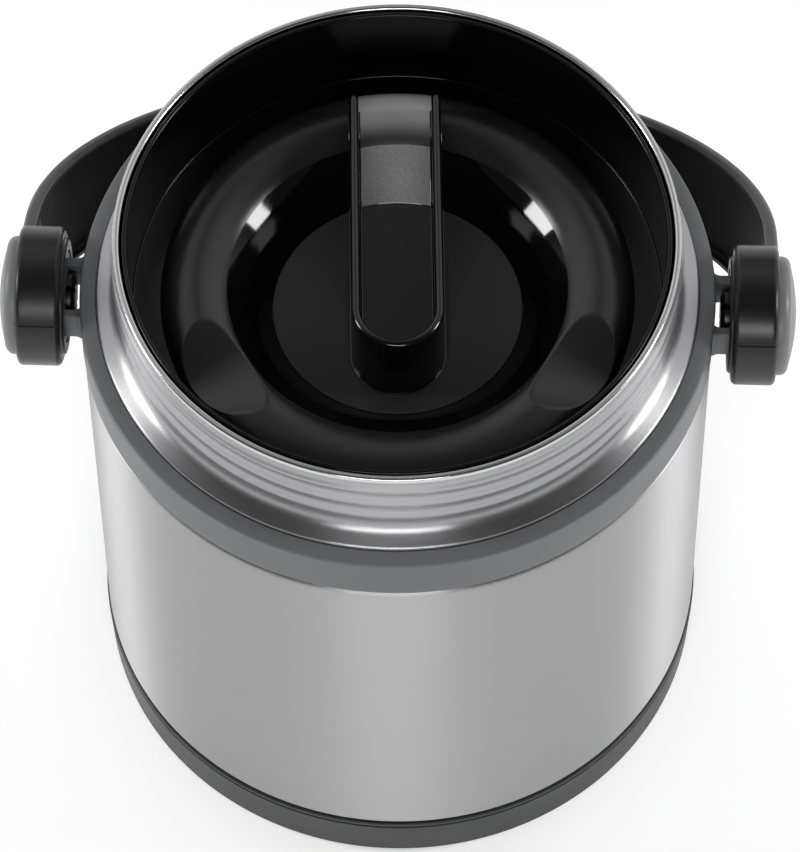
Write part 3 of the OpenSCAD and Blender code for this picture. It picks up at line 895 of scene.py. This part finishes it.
@dataclass
class Bail:
    """The swinging bail: hubs with arms, caps and a half-round strap."""

    finishes: Finishes
    hub_r: float = 20.5
    hub_w: float = 11.8
    boss_over: float = 2.3
    boss_h: float = 1.2
    boss_wall: float = 3.4
    plate_r: float = 13.5
    move_gap: float = 0.3
    cap_r: float = 17.4
    cap_h: float = 5.7
    cap_seat: float = 3.0
    arm_l: float = 22.4
    arm_edge: float = 1.5
    strap_w: float = 34.0
    strap_t: float = 4.4
    skin: float = 2.0
    strap_proud: float = 0.2
    spigot_r: float = 6.1
    barb: float = 0.7
    barb_l: float = 2.4
    core_r: float = 3.7
    slot_half: float = 0.7
    plate_t: float = 1.7
    hub_edge: float = 1.6
    boss_edge: float = 0.9
    cap_side: float = 3.6
    cap_edge: float = 2.4
    seam_half: float = 0.45
    seam_depth: float = 0.35
    soft: float = 0.3
    rest_deg: float = 32.0

    @property
    def hub_x(self) -> float:
        """Inner face of a hub."""
        return SIZES.plate_x + self.move_gap

    @property
    def hub_out(self) -> float:
        """Outer face of a hub."""
        return self.hub_x + self.hub_w

    @property
    def bail_r(self) -> float:
        """Outer radius of the arch."""
        return self.hub_out + self.strap_proud

    @property
    def boss_r(self) -> float:
        """Radius of the boss round the pivot plate."""
        return self.plate_r + self.move_gap + self.boss_wall

    def laid(self, shape: Shape, side: Side = Side.RIGHT) -> Shape:
        """Turns a shape from the bail's own plane to where it rests.

        Args:
            shape: Points in mm: along the pivots, from the pivots to the strap, across.
            side: The side that a hub or arm belongs to.

        Returns:
            The shape in the row frame, in mm.
        """
        c, t = math.cos(math.radians(self.rest_deg)), math.sin(math.radians(self.rest_deg))
        x, y, z = shape[0].T
        verts = [side.value * x, y * c + z * t, -y * t + z * c + SIZES.pivot_z]
        return np.stack(verts, axis=-1), shape[1]

    def build(self) -> None:
        """Builds both hubs and the strap."""
        for side in Side:
            self.build_hub(side)
        self.build_strap()

    def build_hub(self, side: Side) -> None:
        """Builds the hub, arm, spigot and cap of one side."""
        tag = side.name.lower()
        edge, boss_edge, soft = self.hub_edge, self.boss_edge, self.soft
        width = self.hub_w + self.boss_over
        seat_r = self.cap_r + SIZES.seat_gap
        room_r = self.boss_r - self.boss_wall
        outline = (
            [(0, self.boss_over), (room_r, self.boss_over)]
            + arc((room_r + soft, soft), soft, 180, 270, 4)
            + arc((self.boss_r - boss_edge, boss_edge), boss_edge, -90, 0)
            + arc((self.boss_r + soft, self.boss_h - soft), soft, 180, 90, 3)
            + arc((self.hub_r - edge, self.boss_h + edge), edge, -90, 0)
            + run((self.hub_r, self.boss_h + edge + 1), (self.hub_r, width - edge - 1), 4)
            + arc((self.hub_r - edge, width - edge), edge, 0, 90)
            + arc((seat_r + 0.4, width - 0.4), 0.4, 90, 180, 4)
            + [(seat_r, width - self.cap_seat), (0, width - self.cap_seat)]
        )

        def parting_line(radius: np.ndarray, height: np.ndarray, theta: np.ndarray) -> Grids:
            """Sinks the line where the two mould halves met, opposite the arm."""
            away = np.abs(theta - math.pi) * self.hub_r
            rim = radius > self.hub_r - 1.0
            return radius - np.where(rim & (away < self.seam_half), self.seam_depth, 0), height

        make_piece(
            f"hub_{tag}",
            self.laid(
                along_x(turned(outline, 480, parting_line), self.hub_x - self.boss_over), side
            ),
            [self.finishes.satin_black], "bail", [f"hub_arm_{tag}"],
        )
        self.build_arm(side)
        self.build_spigot(side)
        make_piece(
            f"hub_cap_domed_{tag}",
            self.laid(
                along_x(turned(self.cap_outline(), 160), self.hub_out - self.cap_seat), side
            ),
            [self.finishes.cap_grey], "bail", [f"hub_cap_{tag}"],
        )

    def cap_outline(self) -> Outline:
        """Outline of the cap: a flat dome on a skirt with a rounded edge."""
        skirt = self.cap_seat + self.cap_side
        rise = self.cap_h - self.cap_side
        rim = self.cap_edge
        flat_r = self.cap_r - rim
        dome_r = (flat_r**2 + rise**2) / (2 * rise)
        half = math.degrees(math.asin(flat_r / dome_r))
        return (
            [(0, SIZES.seat_gap + 1.5), (self.cap_r - 1.6, SIZES.seat_gap)]
            + [(self.cap_r, SIZES.seat_gap)]
            + arc((flat_r, skirt - rim), rim, 0, 90 - half, 8)
            + arc((0, skirt + rise - dome_r), dome_r, 90 - half, 90, 18)
        )

    def build_arm(self, side: Side) -> None:
        """Builds the straight arm that grows from the hub to the strap's seam."""
        tag = side.name.lower()
        inner = self.bail_r - self.strap_t
        half = self.strap_w / 2
        section = rounded((inner, -half), (self.bail_r, half), self.arm_edge)
        stations = np.array(
            [[(x, y, z) for x, z in section] for y in (1.0, 8.0, 15.0, self.arm_l - 0.15)]
        )
        make_piece(
            f"bail_arm_{tag}", self.laid(swept(stations), side), [self.finishes.satin_black],
            "bail", (),
        )

    def build_spigot(self, side: Side) -> None:
        """Builds the slotted snap spigot that turns in the pivot plate."""
        tag = side.name.lower()
        start = SIZES.plate_x - self.plate_t - self.move_gap - self.barb_l
        length = self.hub_x - start + 1
        barb_r = self.spigot_r + self.barb
        outline = [
            (0, 0.4), (self.core_r - 0.3, 0.4), (self.core_r - 0.1, 0), (self.spigot_r - 0.5, 0),
            (barb_r, self.barb_l / 2), (barb_r, self.barb_l - 0.1), (self.spigot_r, self.barb_l),
            (self.spigot_r, length), (0, length),
        ]

        def slots(radius: np.ndarray, height: np.ndarray, theta: np.ndarray) -> Grids:
            """Cuts four slots, so that the spigot's fingers can spring."""
            quarter = np.abs((theta % (math.pi / 2)) - math.pi / 4) * self.spigot_r
            cut = (quarter < self.slot_half) & (radius > self.core_r)
            return np.where(cut, self.core_r, radius), height

        make_piece(
            f"snap_spigot_{tag}", self.laid(along_x(turned(outline, 192, slots), start), side),
            [self.finishes.satin_black], "bail", (),
        )

    def build_strap(self) -> None:
        """Builds the half-round strap, a channel open towards the jar."""
        inner = self.bail_r - self.strap_t
        half = self.strap_w / 2
        tip, edge, root, lip, soft = 1.0, 1.8, 1.2, 1.6, self.soft
        floor = self.bail_r - self.skin
        section = (
            arc((inner + tip, -half + tip), tip, 180, 270, 5)
            + arc((self.bail_r - edge, -half + edge), edge, 270, 360, 6)
            + run((self.bail_r, -half + 3), (self.bail_r, half - 3), 6)
            + arc((self.bail_r - edge, half - edge), edge, 0, 90, 6)
            + arc((inner + lip, half - lip), lip, 90, 180, 8)
            + arc((inner + soft, half - self.skin - 0.1), soft, 180, 270, 3)
            + arc((floor - root, half - self.skin - 0.4 - root), root, 90, 0, 6)
            + arc((floor - root, -half + self.skin + root), root, 0, -90, 6)
            + arc((inner + soft, -half + self.skin - soft), soft, 90, 180, 3)
        )
        stations = np.array(
            [
                [(r * math.cos(t), self.arm_l + r * math.sin(t), n) for r, n in section]
                for t in np.linspace(0, math.pi, 145)
            ]
        )
        c, t = math.cos(math.radians(self.rest_deg)), math.sin(math.radians(self.rest_deg))

        def inside(centres: np.ndarray) -> np.ndarray:
            """Tells the channel's inside, which takes the painted shade, from the strap's outside.
            """
            y, z = centres[:, 1], centres[:, 2] - SIZES.pivot_z
            r = np.hypot(centres[:, 0], y * c - z * t - self.arm_l)
            across = np.abs(y * t + z * c)
            deep = (r < floor + 0.3) & (across < half - self.skin + 0.2)
            return deep.astype(int)

        make_piece(
            "bail_strap_arched", self.laid(swept(stations)),
            [self.finishes.satin_black, self.finishes.channel_black_painted_shade], "bail", ["bail_strap"],
            pick=inside,
        )


# ------------------------------------------------------------------ stopper


@dataclass
class Stopper:
    """The stopper: bowl, grip bar, disc, base shell and seal."""

    finishes: Finishes
    wall: float = 2.0
    draft: float = 0.5
    groove_depth: float = 31.1
    groove_round: float = 0.4
    sleeve_tip: float = 0.5
    ring_r: float = 69.3
    recess_r: float = 49.8
    crown_h: float = 7.5
    edge_h: float = 4.3
    recess_depth: float = 7.4
    knee_in: float = 7.3
    knee_slope: float = 37.0
    knee_soft: float = 1.6
    crown_arc: float = 18.7
    outer_arc: float = 6.0
    closed_turn: float = 2.8
    finger_deg: float = 60.0
    finger_depth: float = 3.3
    finger_inner_r: float = 55.0
    finger_outer_r: float = 30.0
    finger_fall: float = 3.5
    finger_blend: float = 0.3
    bar_w: float = 27.0
    bar_t: float = 2.75
    bar_depth: float = 12.6
    nose_y: float = 29.6
    tail_y: float = 59.5
    tail_round: float = 2.2
    out_fillet: float = 0.45
    in_fillet: float = 0.5
    foot_deep: float = 0.4
    disc_r: float = 36.7
    disc_t: float = 2.1
    disc_bevel: float = 0.35
    seal_gap: float = 0.3
    seal_lip: float = 1.1
    flange_w: float = 1.5
    flange_steps: tuple[float, float] = (3.2, 2.4)
    cup_corner: float = 6.0

    @property
    def groove_z(self) -> float:
        """Height of the groove round the grip ring."""
        return SIZES.rim_z - self.groove_depth

    @property
    def crown_r(self) -> float:
        """Radius of the grip ring's crown."""
        return (self.ring_r + self.recess_r) / 2 - 0.5

    @property
    def floor_top(self) -> float:
        """Height of the disc's face."""
        return self.groove_z - self.recess_depth

    def closed(self, shape: Shape) -> Shape:
        """Turns a shape to where the closed stopper rests."""
        a = math.radians(self.closed_turn)
        x, y, z = shape[0].T
        verts = [x * math.cos(a) - y * math.sin(a), x * math.sin(a) + y * math.cos(a), z]
        return np.stack(verts, axis=-1), shape[1]

    def face_outline(self, inset: float = 0.0) -> Outline:
        """Upper face from the middle to the groove: seat, basin and grip ring.

        Args:
            inset: How far below the face the outline lies, in mm.

        Returns:
            The outline.
        """
        edge_z = self.groove_z + self.edge_h
        across = self.crown_r - self.recess_r
        drop = self.crown_h - self.edge_h
        inner_arc = (across**2 + drop**2) / (2 * drop)
        top = self.groove_z + self.crown_h
        shift = self.crown_arc - self.outer_arc
        turn = math.acos((self.ring_r - self.outer_arc - self.crown_r) / shift)
        centre = (self.crown_r, top - self.crown_arc)
        outer = (centre[0] + shift * math.cos(turn), centre[1] + shift * math.sin(turn))
        start = 90 + math.degrees(math.asin(across / inner_arc))
        foot_r = self.disc_r + SIZES.seat_gap
        slope = math.atan2(edge_z - self.floor_top, self.recess_r - foot_r)
        seat_z = self.floor_top - self.disc_t - inset
        if inset:
            below = (inset * math.sin(slope), -inset * math.cos(slope))
            drop_z = seat_z - self.floor_top - below[1]
            middle = [(0, seat_z), (foot_r + below[0] + drop_z / math.tan(slope), seat_z)]
        else:
            middle = [(0, seat_z), (foot_r, seat_z), (foot_r, self.floor_top - 0.15)]
            middle += self.basin((foot_r + 0.15, self.floor_top), (self.recess_r, edge_z))[:-1]
        return (
            middle
            + arc((self.crown_r, top - inner_arc), inner_arc - inset, start, 90, 26)[:-1]
            + arc(centre, self.crown_arc - inset, 90, math.degrees(turn), 18)[:-1]
            + arc(outer, self.outer_arc - inset, math.degrees(turn), 8, 26)
            + [(self.ring_r + 0.15 - inset, self.groove_z - inset)]
        )

    def basin(self, foot: Sequence[float], edge: Sequence[float]) -> Outline:
        """Wall of the basin, a little steeper at its foot than under the grip ring.

        Args:
            foot: Radius and height of its foot, in mm.
            edge: Radius and height of its upper edge, in mm.

        Returns:
            The outline from foot to edge.
        """
        rise, soft = math.tan(math.radians(self.knee_slope)), self.knee_soft
        knee_r, knee_z = edge[0] - self.knee_in, edge[1] - self.knee_in * rise
        low = (knee_r - soft, knee_z - soft * (knee_z - foot[1]) / (knee_r - foot[0]))
        high = (knee_r + soft, knee_z + soft * rise)
        bend = [
            tuple(
                (1 - t) ** 2 * a + 2 * t * (1 - t) * k + t**2 * b
                for a, k, b in zip(low, (knee_r, knee_z), high)
            )
            for t in np.linspace(0, 1, 9)
        ]
        return run(foot, low, 4)[:-1] + bend + run(high, edge, 6)[1:]

    def dish(self, out: np.ndarray, across: np.ndarray) -> np.ndarray:
        """Height of the lying cone that dishes the grip ring for one finger.

        Args:
            out: Distance from the axis towards the finger, in mm.
            across: Distance sideways from there, in mm.

        Returns:
            The height of the cone's lower half over the table, in mm.
        """
        half = math.atan(
            (self.finger_inner_r - self.finger_outer_r) / (self.ring_r - self.recess_r)
        )
        fall = math.radians(self.finger_fall)
        lean = fall + half
        apex = self.recess_r + self.finger_inner_r / math.tan(half) * math.cos(fall)
        lowest = self.groove_z + self.crown_h - self.finger_depth
        apex_z = lowest + (self.crown_r - apex) * math.tan(fall)
        reach = apex - out
        c2 = math.cos(half) ** 2
        square = math.sin(lean) ** 2 - c2
        slant = 2 * reach * math.sin(lean) * math.cos(lean)
        rest = reach**2 * (math.cos(lean) ** 2 - c2) - c2 * across**2
        root = np.sqrt(np.maximum(slant**2 - 4 * square * rest, 0))
        return apex_z + (root - slant) / (2 * square)

    def dish_ring(self, radius: np.ndarray, height: np.ndarray, theta: np.ndarray) -> Grids:
        """Dishes the grip ring for two fingers, with softened edges."""
        sunk = np.zeros((len(radius), 1))
        sunk[-len(self.face_outline(self.wall)) :] = self.wall
        on_ring = (radius > self.recess_r - 0.3) & (radius < self.ring_r + 0.5)
        on_ring &= height > self.groove_z - sunk - 0.5
        for way in (-1, 1):
            centre = math.radians(-90 + way * self.finger_deg)
            out = radius * np.cos(theta - centre)
            cone = self.dish(np.maximum(out, 0), radius * np.sin(theta - centre)) - sunk
            mix = np.clip(0.5 + 0.5 * (cone - height) / self.finger_blend, 0, 1)
            low = cone * (1 - mix) + height * mix
            low -= self.finger_blend * mix * (1 - mix)
            height = np.where(on_ring & (out > 0), np.minimum(low, height), height)
        return radius, height

    def build(self) -> None:
        """Builds every piece of the stopper."""
        self.build_bowl()
        self.build_bar()
        self.build_disc()
        self.build_base()
        self.build_seal()

    def build_bowl(self) -> None:
        """Builds the sleeve, groove, grip ring and basin in one moulding."""
        s = SIZES
        foot_r = s.sleeve_r - self.wall
        round_r, tip = self.groove_round, self.sleeve_tip
        outline = (
            self.face_outline()
            + arc((foot_r - round_r, self.groove_z + round_r), round_r, -90, 0, 8)
            + run(
                (foot_r, self.groove_z + round_r + 1), (foot_r + self.draft, s.edge_z - tip - 1),
                10,
            )
            + arc((foot_r + self.draft + tip, s.edge_z - tip), tip, 180, 90, 5)
            + arc((s.sleeve_r - tip, s.edge_z - tip), tip, 90, 0, 5)
            + [(s.sleeve_r, s.skirt_z), (foot_r, s.skirt_z), (foot_r, self.groove_z - self.wall)]
            + self.face_outline(self.wall)[::-1]
        )
        half = self.bar_w / 2 - self.bar_t / 2
        low, high = self.disc_r + 0.3, self.recess_r
        a = math.radians(self.closed_turn)

        def regions(centres: np.ndarray) -> np.ndarray:
            """Tells basin, ring, eroded ramp, crown behind the grip and sleeve apart."""
            x = centres[:, 0] * math.cos(a) + centres[:, 1] * math.sin(a)
            y = -centres[:, 0] * math.sin(a) + centres[:, 1] * math.cos(a)
            r = np.hypot(x, y)
            between = (np.abs(x) < half) & (y > 0) & (centres[:, 2] > self.floor_top)
            # Regions 3 and 2 carry the painted highlight of the crown and ramp finishes
            return np.select(
                [r > self.ring_r, between & (r > high), between & (r > low), r > high],
                [4, 3, 2, 1], 0,
            )

        make_piece(
            "stopper_bowl_moulded", self.closed(turned(outline, 720, self.dish_ring)),
            [
                self.finishes.gloss_black, self.finishes.ring_black, self.finishes.eroded_black_painted_light,
                self.finishes.crown_grain_painted_light, self.finishes.sleeve_black,
            ],
            "stopper", ["stopper_bowl"], sharp=28, pick=regions,
        )

    def ground(self, x: float, y: float) -> float:
        """Height of the stopper's face under a point, in mm."""
        r = math.hypot(x, y)
        if r <= self.disc_r:
            return self.floor_top
        outline = [p for p in self.face_outline() if p[0] >= self.disc_r + 0.2]
        radii = [p[0] for p in outline]
        heights = [p[1] for p in outline]
        return float(np.interp(r, radii, heights))

    def build_bar(self) -> None:
        """Builds the U-shaped grip bar with rounded tops and filleted feet."""
        nose_r = self.bar_w / 2
        centre_y = -self.nose_y + nose_r
        top = SIZES.rim_z - self.bar_depth
        roll = self.bar_t / 2
        out_fillet, in_fillet, deep = self.out_fillet, self.in_fillet, self.foot_deep
        path: list[tuple[float, float, float, float, float]] = []
        straight = np.linspace(self.tail_y, centre_y, 80)
        for y in straight:
            path.append((-nose_r, float(y), 1.0, 0.0, self.end_drop(float(y))))
        for t in np.linspace(180, 360, 61)[1:-1]:
            c, s = math.cos(math.radians(t)), math.sin(math.radians(t))
            path.append((nose_r * c, centre_y + nose_r * s, -c, -s, 0.0))
        for y in straight[::-1]:
            path.append((nose_r, float(y), -1.0, 0.0, self.end_drop(float(y))))
        stations = []
        for x, y, nx, ny, drop in path:
            out_z = self.ground(x, y)
            in_x, in_y = x + nx * self.bar_t, y + ny * self.bar_t
            in_z = self.ground(in_x, in_y)
            crest = top - roll - drop
            section = (
                [(-out_fillet, out_z - deep)]
                + arc((-out_fillet, out_z + out_fillet), out_fillet, -90, 0, 5)
                + run((0, out_z + out_fillet + 0.3), (0, crest - 0.5), 4)
                + arc((roll, crest), roll, 180, 0, 12)
                + run((self.bar_t, crest - 0.5), (self.bar_t, in_z + in_fillet + 0.3), 4)
                + arc((self.bar_t + in_fillet, in_z + in_fillet), in_fillet, 180, 270, 6)
                + [(self.bar_t + in_fillet, in_z - deep)]
            )
            stations.append([(x + nx * d, y + ny * d, z) for d, z in section])
        make_piece(
            "grip_bar_moulded", self.closed(swept(np.array(stations))), [self.finishes.grip_black],
            "stopper", ["grip_bar"],
        )
        self.build_bar_floor()

    def end_drop(self, y: float) -> float:
        """How far the rounded back end of a cheek drops at y, in mm."""
        reach = self.tail_round
        past = max(y - (self.tail_y - reach), 0.0)
        return reach - math.sqrt(max(reach**2 - past**2, 0.0))

    def build_bar_floor(self) -> None:
        """Builds the smooth floor between the cheeks of the grip bar."""
        half = self.bar_w / 2 - self.bar_t * 0.6
        centre_y = -self.nose_y + self.bar_w / 2
        top, low = self.floor_top, self.floor_top - self.disc_t
        back = [(x, math.sqrt(self.disc_r**2 - x**2)) for x in np.linspace(half, -half, 25)]
        rim = back + arc((0, centre_y), half, 180, 360, 40)
        count = len(rim)
        verts = np.array([(x, y, top) for x, y in rim] + [(x, y, low) for x, y in rim])
        faces: Faces = [tuple(range(count)), tuple(range(count, 2 * count))]
        faces += [(i, (i + 1) % count, count + (i + 1) % count, count + i) for i in range(count)]
        make_piece(
            "grip_bar_floor", self.closed((verts, faces)), [self.finishes.grip_black], "stopper",
            (),
        )

    def build_disc(self) -> None:
        """Builds the matte disc, cut out round the grip bar."""
        clear = self.bar_w / 2 + SIZES.seat_gap
        centre_y = -self.nose_y + self.bar_w / 2
        top, low = self.floor_top, self.floor_top - self.disc_t + SIZES.seat_gap
        bevel = self.disc_bevel
        back_y = math.sqrt(self.disc_r**2 - clear**2)
        corner = math.degrees(math.asin(clear / self.disc_r))
        rim = arc((0, 0), self.disc_r, 90 + corner, 450 - corner, 240)
        cut_out = (
            run((-clear, back_y), (-clear, centre_y), 60)[:-1]
            + arc((0, centre_y), clear, 180, 360, 120)
            + run((clear, centre_y), (clear, back_y), 60)[1:]
        )
        sections = []
        for (ax, ay), (bx, by) in zip(rim, cut_out):
            width = max(math.hypot(bx - ax, by - ay), 1e-3)
            step = min(bevel / width, 0.3)
            fall = step * width
            across = [(0, low), (0, top - fall), (step * 0.3, top - fall * 0.3)]
            across += [(w, top) for w in np.linspace(step, 1 - step, 12)]
            across += [(1 - step * 0.3, top - fall * 0.3), (1, top - fall), (1, low)]
            sections.append([(ax + (bx - ax) * w, ay + (by - ay) * w, z) for w, z in across])
        make_piece(
            "centre_disc_matte", self.closed(swept(np.array(sections))),
            [self.finishes.matte_black], "stopper", ["centre_disc"],
        )

    def build_base(self) -> None:
        """Builds the stopper's lower shell."""
        s = SIZES
        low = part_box("stopper_base")[0].z / MM
        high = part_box("stopper_base")[1].z / MM
        flange_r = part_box("stopper_base")[1].y / MM
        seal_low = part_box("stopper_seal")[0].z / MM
        neck_r = s.sleeve_r - self.wall - s.seat_gap
        cup_r = flange_r - self.flange_w
        corner, low_step, rim_step = self.cup_corner, *self.flange_steps
        outline = (
            [(0, low)]
            + arc((cup_r - corner, low + corner), corner, -90, 0, 12)
            + [
                (cup_r, seal_low - low_step), (flange_r, seal_low - rim_step),
                (flange_r, seal_low - 0.5), (flange_r - 0.2, seal_low - self.seal_gap),
                (neck_r, seal_low - self.seal_gap), (neck_r, high), (neck_r - self.wall, high),
                (neck_r - self.wall, seal_low),
            ]
            + arc((cup_r - corner, low + corner), corner - self.wall, 0, -90, 12)
            + [(0, low + self.wall)]
        )
        make_piece(
            "stopper_base_moulded", self.closed(turned(outline, 256)), [self.finishes.satin_black],
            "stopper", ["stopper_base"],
        )

    def build_seal(self) -> None:
        """Builds the two-lipped silicone seal."""
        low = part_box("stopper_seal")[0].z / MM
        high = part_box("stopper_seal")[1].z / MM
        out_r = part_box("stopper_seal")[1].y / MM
        in_r = SIZES.sleeve_r - self.wall - SIZES.seat_gap + self.seal_gap
        lip, round_r = self.seal_lip, 0.45
        web_r = out_r - 1.0
        outline = (
            [(in_r, low)]
            + arc((out_r - round_r, low + round_r), round_r, -90, 0, 4)
            + [(out_r, low + lip), (web_r, low + lip + 0.5)]
            + [(web_r, high - lip - 0.5), (out_r, high - lip)]
            + arc((out_r - round_r, high - round_r), round_r, 0, 90, 4)
            + [(in_r, high)]
        )
        make_piece(
            "stopper_seal_lipped", turned(outline, 256), [self.finishes.silicone], "seal",
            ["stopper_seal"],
        )


@dataclass
class HiddenWorks:
    """Pieces inside the vacuum, the pivots and the stopper, kept as the frame has them."""

    finishes: Finishes

    def build(self) -> None:
        """Gives each kept node its finish."""
        f = self.finishes
        kept = {
            "shell_bottom": f.body_steel, "heat_shield": f.foil, "getter": f.braze,
            "seal_disc": f.braze, "lock_pin_left": f.satin_black, "lock_pin_right": f.satin_black,
            "stopper_core": f.foam,
        }
        for name, finish in kept.items():
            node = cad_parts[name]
            node.data.materials.clear()
            node.data.materials.append(finish)
            LOG.info("%s: kept with %s", name, finish.name)


# ------------------------------------------------------------------- studio


def towards(turn: float, rise: float) -> Vector:
    """Direction from the jar at an angle round it, from the front, and over the table."""
    t, r = math.radians(turn), math.radians(rise)
    return Vector((math.cos(r) * math.sin(t), -math.cos(r) * math.cos(t), math.sin(r)))


@dataclass(frozen=True)
class Softbox:
    """A square soft light, hung round the jar and turned to it.

    Args:
        name: Its name.
        turn: Angle round the jar in degrees, from the front towards the right-hand pivot.
        rise: Angle over the table in degrees.
        distance: Distance of its middle from the jar in metres.
        size: Width and height in metres.
        radiance: How bright its face looks.
    """

    name: str
    turn: float
    rise: float
    distance: float
    size: tuple[float, float]
    radiance: float

    def make(self, target: Vector) -> None:
        """Hangs the light and points it at the target."""
        away = towards(self.turn, self.rise)
        lamp = bpy.data.lights.new(self.name, "AREA")
        lamp.shape = "RECTANGLE"
        lamp.size, lamp.size_y = self.size
        lamp.energy = self.radiance * math.pi * self.size[0] * self.size[1]
        holder = bpy.data.objects.new(self.name, lamp)
        holder.location = target + away * self.distance
        holder.rotation_euler = away.to_track_quat("Z", "Y").to_euler()
        bpy.context.scene.collection.objects.link(holder)


@dataclass
class Studio:
    """Floor, lights, sky and camera."""

    elevation: float = 58.82
    azimuth: float = 2.57
    roll: float = -0.6
    distance: float = 1.6494
    target: tuple[float, float, float] = (0.00030, 0.00033, 0.10235)
    focal_px: float = 5419.8
    picture_h: float = 852.0
    film: float = 36.0
    floor_half: float = 4.0
    floor_tone: float = 0.8
    floor_glow: float = 0.45
    horizon: float = 0.9
    zenith: float = 0.08
    sweep: tuple[float, float] = (0.02, 0.3)
    glow_turn: float = 140.0
    glow_rise: float = 38.0
    glow_width: float = 40.0
    glow: float = 0.95
    lit_from: tuple[float, float, float] = (0.0, 0.0, 0.17)
    softboxes: tuple[Softbox, ...] = (
        Softbox("softbox_left", -92.0, 27.0, 1.3, (0.30, 0.40), 18.0),
        Softbox("softbox_right", 92.0, 27.0, 1.3, (0.30, 0.40), 18.0),
        Softbox("softbox_front", 0.0, 34.0, 1.4, (0.70, 0.26), 10.0),
    )

    def build(self) -> None:
        """Builds the whole studio."""
        self.place_camera()
        for softbox in self.softboxes:
            softbox.make(Vector(self.lit_from))
        self.lay_floor()
        self.paint_sky()

    def place_camera(self) -> None:
        """Places the camera."""
        away = towards(self.azimuth, self.elevation)
        camera = bpy.data.cameras.new("camera")
        camera.sensor_fit = "VERTICAL"
        camera.sensor_height = self.film
        camera.lens = self.focal_px * self.film / self.picture_h
        camera.clip_end = 30
        holder = bpy.data.objects.new("camera", camera)
        level = away.to_track_quat("Z", "Y").to_matrix().to_4x4()
        roll = Matrix.Rotation(math.radians(self.roll), 4, "Z")
        stand = Matrix.Translation(Vector(self.target) + away * self.distance)
        holder.matrix_world = stand @ level @ roll
        bpy.context.scene.collection.objects.link(holder)
        bpy.context.scene.camera = holder

    def seen(self, tree: Tree) -> Node:
        """Tells the rays of the eye, a reflection or clear glass from stray light.

        Args:
            tree: The node tree that asks.

        Returns:
            A node that gives 1 for a ray that sees the background and 0 for one that
            gathers light.
        """
        path = add(tree, "LightPath")
        mirrored = add(
            tree, "Math",
            {0: path.outputs["Is Glossy Ray"], 1: path.outputs["Is Transmission Ray"]},
            operation="ADD",
        )
        either = add(
            tree, "Math", {0: path.outputs["Is Camera Ray"], 1: mirrored}, operation="ADD",
            use_clamp=True,
        )
        return either

    def lay_floor(self) -> None:
        """Lays the pale floor, which looks white and still takes the shadow."""
        material, tree = blank("floor_paper")
        tone = self.floor_tone
        paper = add(tree, "BsdfDiffuse", {"Color": (tone, tone, tone, 1.0)})
        lift = add(tree, "Math", {0: self.seen(tree), 1: self.floor_glow}, operation="MULTIPLY")
        glow = add(tree, "Emission", {"Strength": lift})
        both = add(tree, "AddShader", {0: paper, 1: glow})
        close(tree, both)
        mesh = bpy.data.meshes.new("floor")
        half = self.floor_half
        mesh.from_pydata(
            [(-half, -half, 0), (half, -half, 0), (half, half, 0), (-half, half, 0)], [],
            [(0, 1, 2, 3)],
        )
        mesh.materials.append(material)
        floor = bpy.data.objects.new("floor", mesh)
        bpy.context.scene.collection.objects.link(floor)

    def wall_glow(self, tree: Tree, axes: Node) -> Node:
        """Paints light that comes back softly from the walls behind, left and right.

        Args:
            tree: The world's tree.
            axes: The node that splits the direction into X, Y and Z.

        Returns:
            A node that gives how bright the wall is.
        """
        side = add(tree, "Math", {0: axes.outputs["X"]}, operation="ABSOLUTE")
        mirrored = add(
            tree, "CombineXYZ", {"X": side, "Y": axes.outputs["Y"], "Z": axes.outputs["Z"]}
        )
        middle = towards(self.glow_turn, self.glow_rise)
        near = add(tree, "VectorMath", {0: mirrored, 1: middle}, operation="DOT_PRODUCT")
        glow = add(
            tree, "MapRange",
            {
                "Value": near.outputs["Value"],
                "From Min": math.cos(math.radians(self.glow_width)), "From Max": 1.0,
                "To Min": 0.0, "To Max": self.glow,
            },
            interpolation_type="SMOOTHSTEP",
        )
        return glow

    def paint_sky(self) -> None:
        """Paints the room: a white sweep at table height that fades to a dim ceiling."""
        world = bpy.data.worlds.new("studio")
        world.use_nodes = True
        tree = world.node_tree
        tree.nodes.clear()
        where = add(tree, "TexCoord")
        axes = add(tree, "SeparateXYZ", {0: where.outputs["Generated"]})
        room = add(
            tree, "MapRange",
            {
                "Value": axes.outputs["Z"], "From Min": self.sweep[0], "From Max": self.sweep[1],
                "To Min": self.horizon, "To Max": self.zenith,
            },
            interpolation_type="SMOOTHSTEP",
        )
        bounce = self.wall_glow(tree, axes)
        lit = add(tree, "Math", {0: room, 1: bounce}, operation="MAXIMUM")
        path = add(tree, "LightPath")
        strength = add(
            tree, "Math", {0: lit, 1: path.outputs["Is Camera Ray"]}, operation="MAXIMUM"
        )
        sky = add(tree, "Background", {"Color": (1, 1, 1, 1), "Strength": strength})
        add(tree, "OutputWorld", {"Surface": sky})
        bpy.context.scene.world = world


def main() -> None:
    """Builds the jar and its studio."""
    logging.basicConfig(level=logging.INFO, format="%(name)s: %(message)s")
    bpy.context.scene.view_settings.view_transform = "Standard"
    finishes = Finishes()
    for works in (
        Vessel(finishes), Base(finishes), Collar(finishes), Bail(finishes), Stopper(finishes),
        HiddenWorks(finishes), Studio(),
    ):
        works.build()
        LOG.info("%s built", type(works).__name__)


if __name__ == "__main__":
    main()
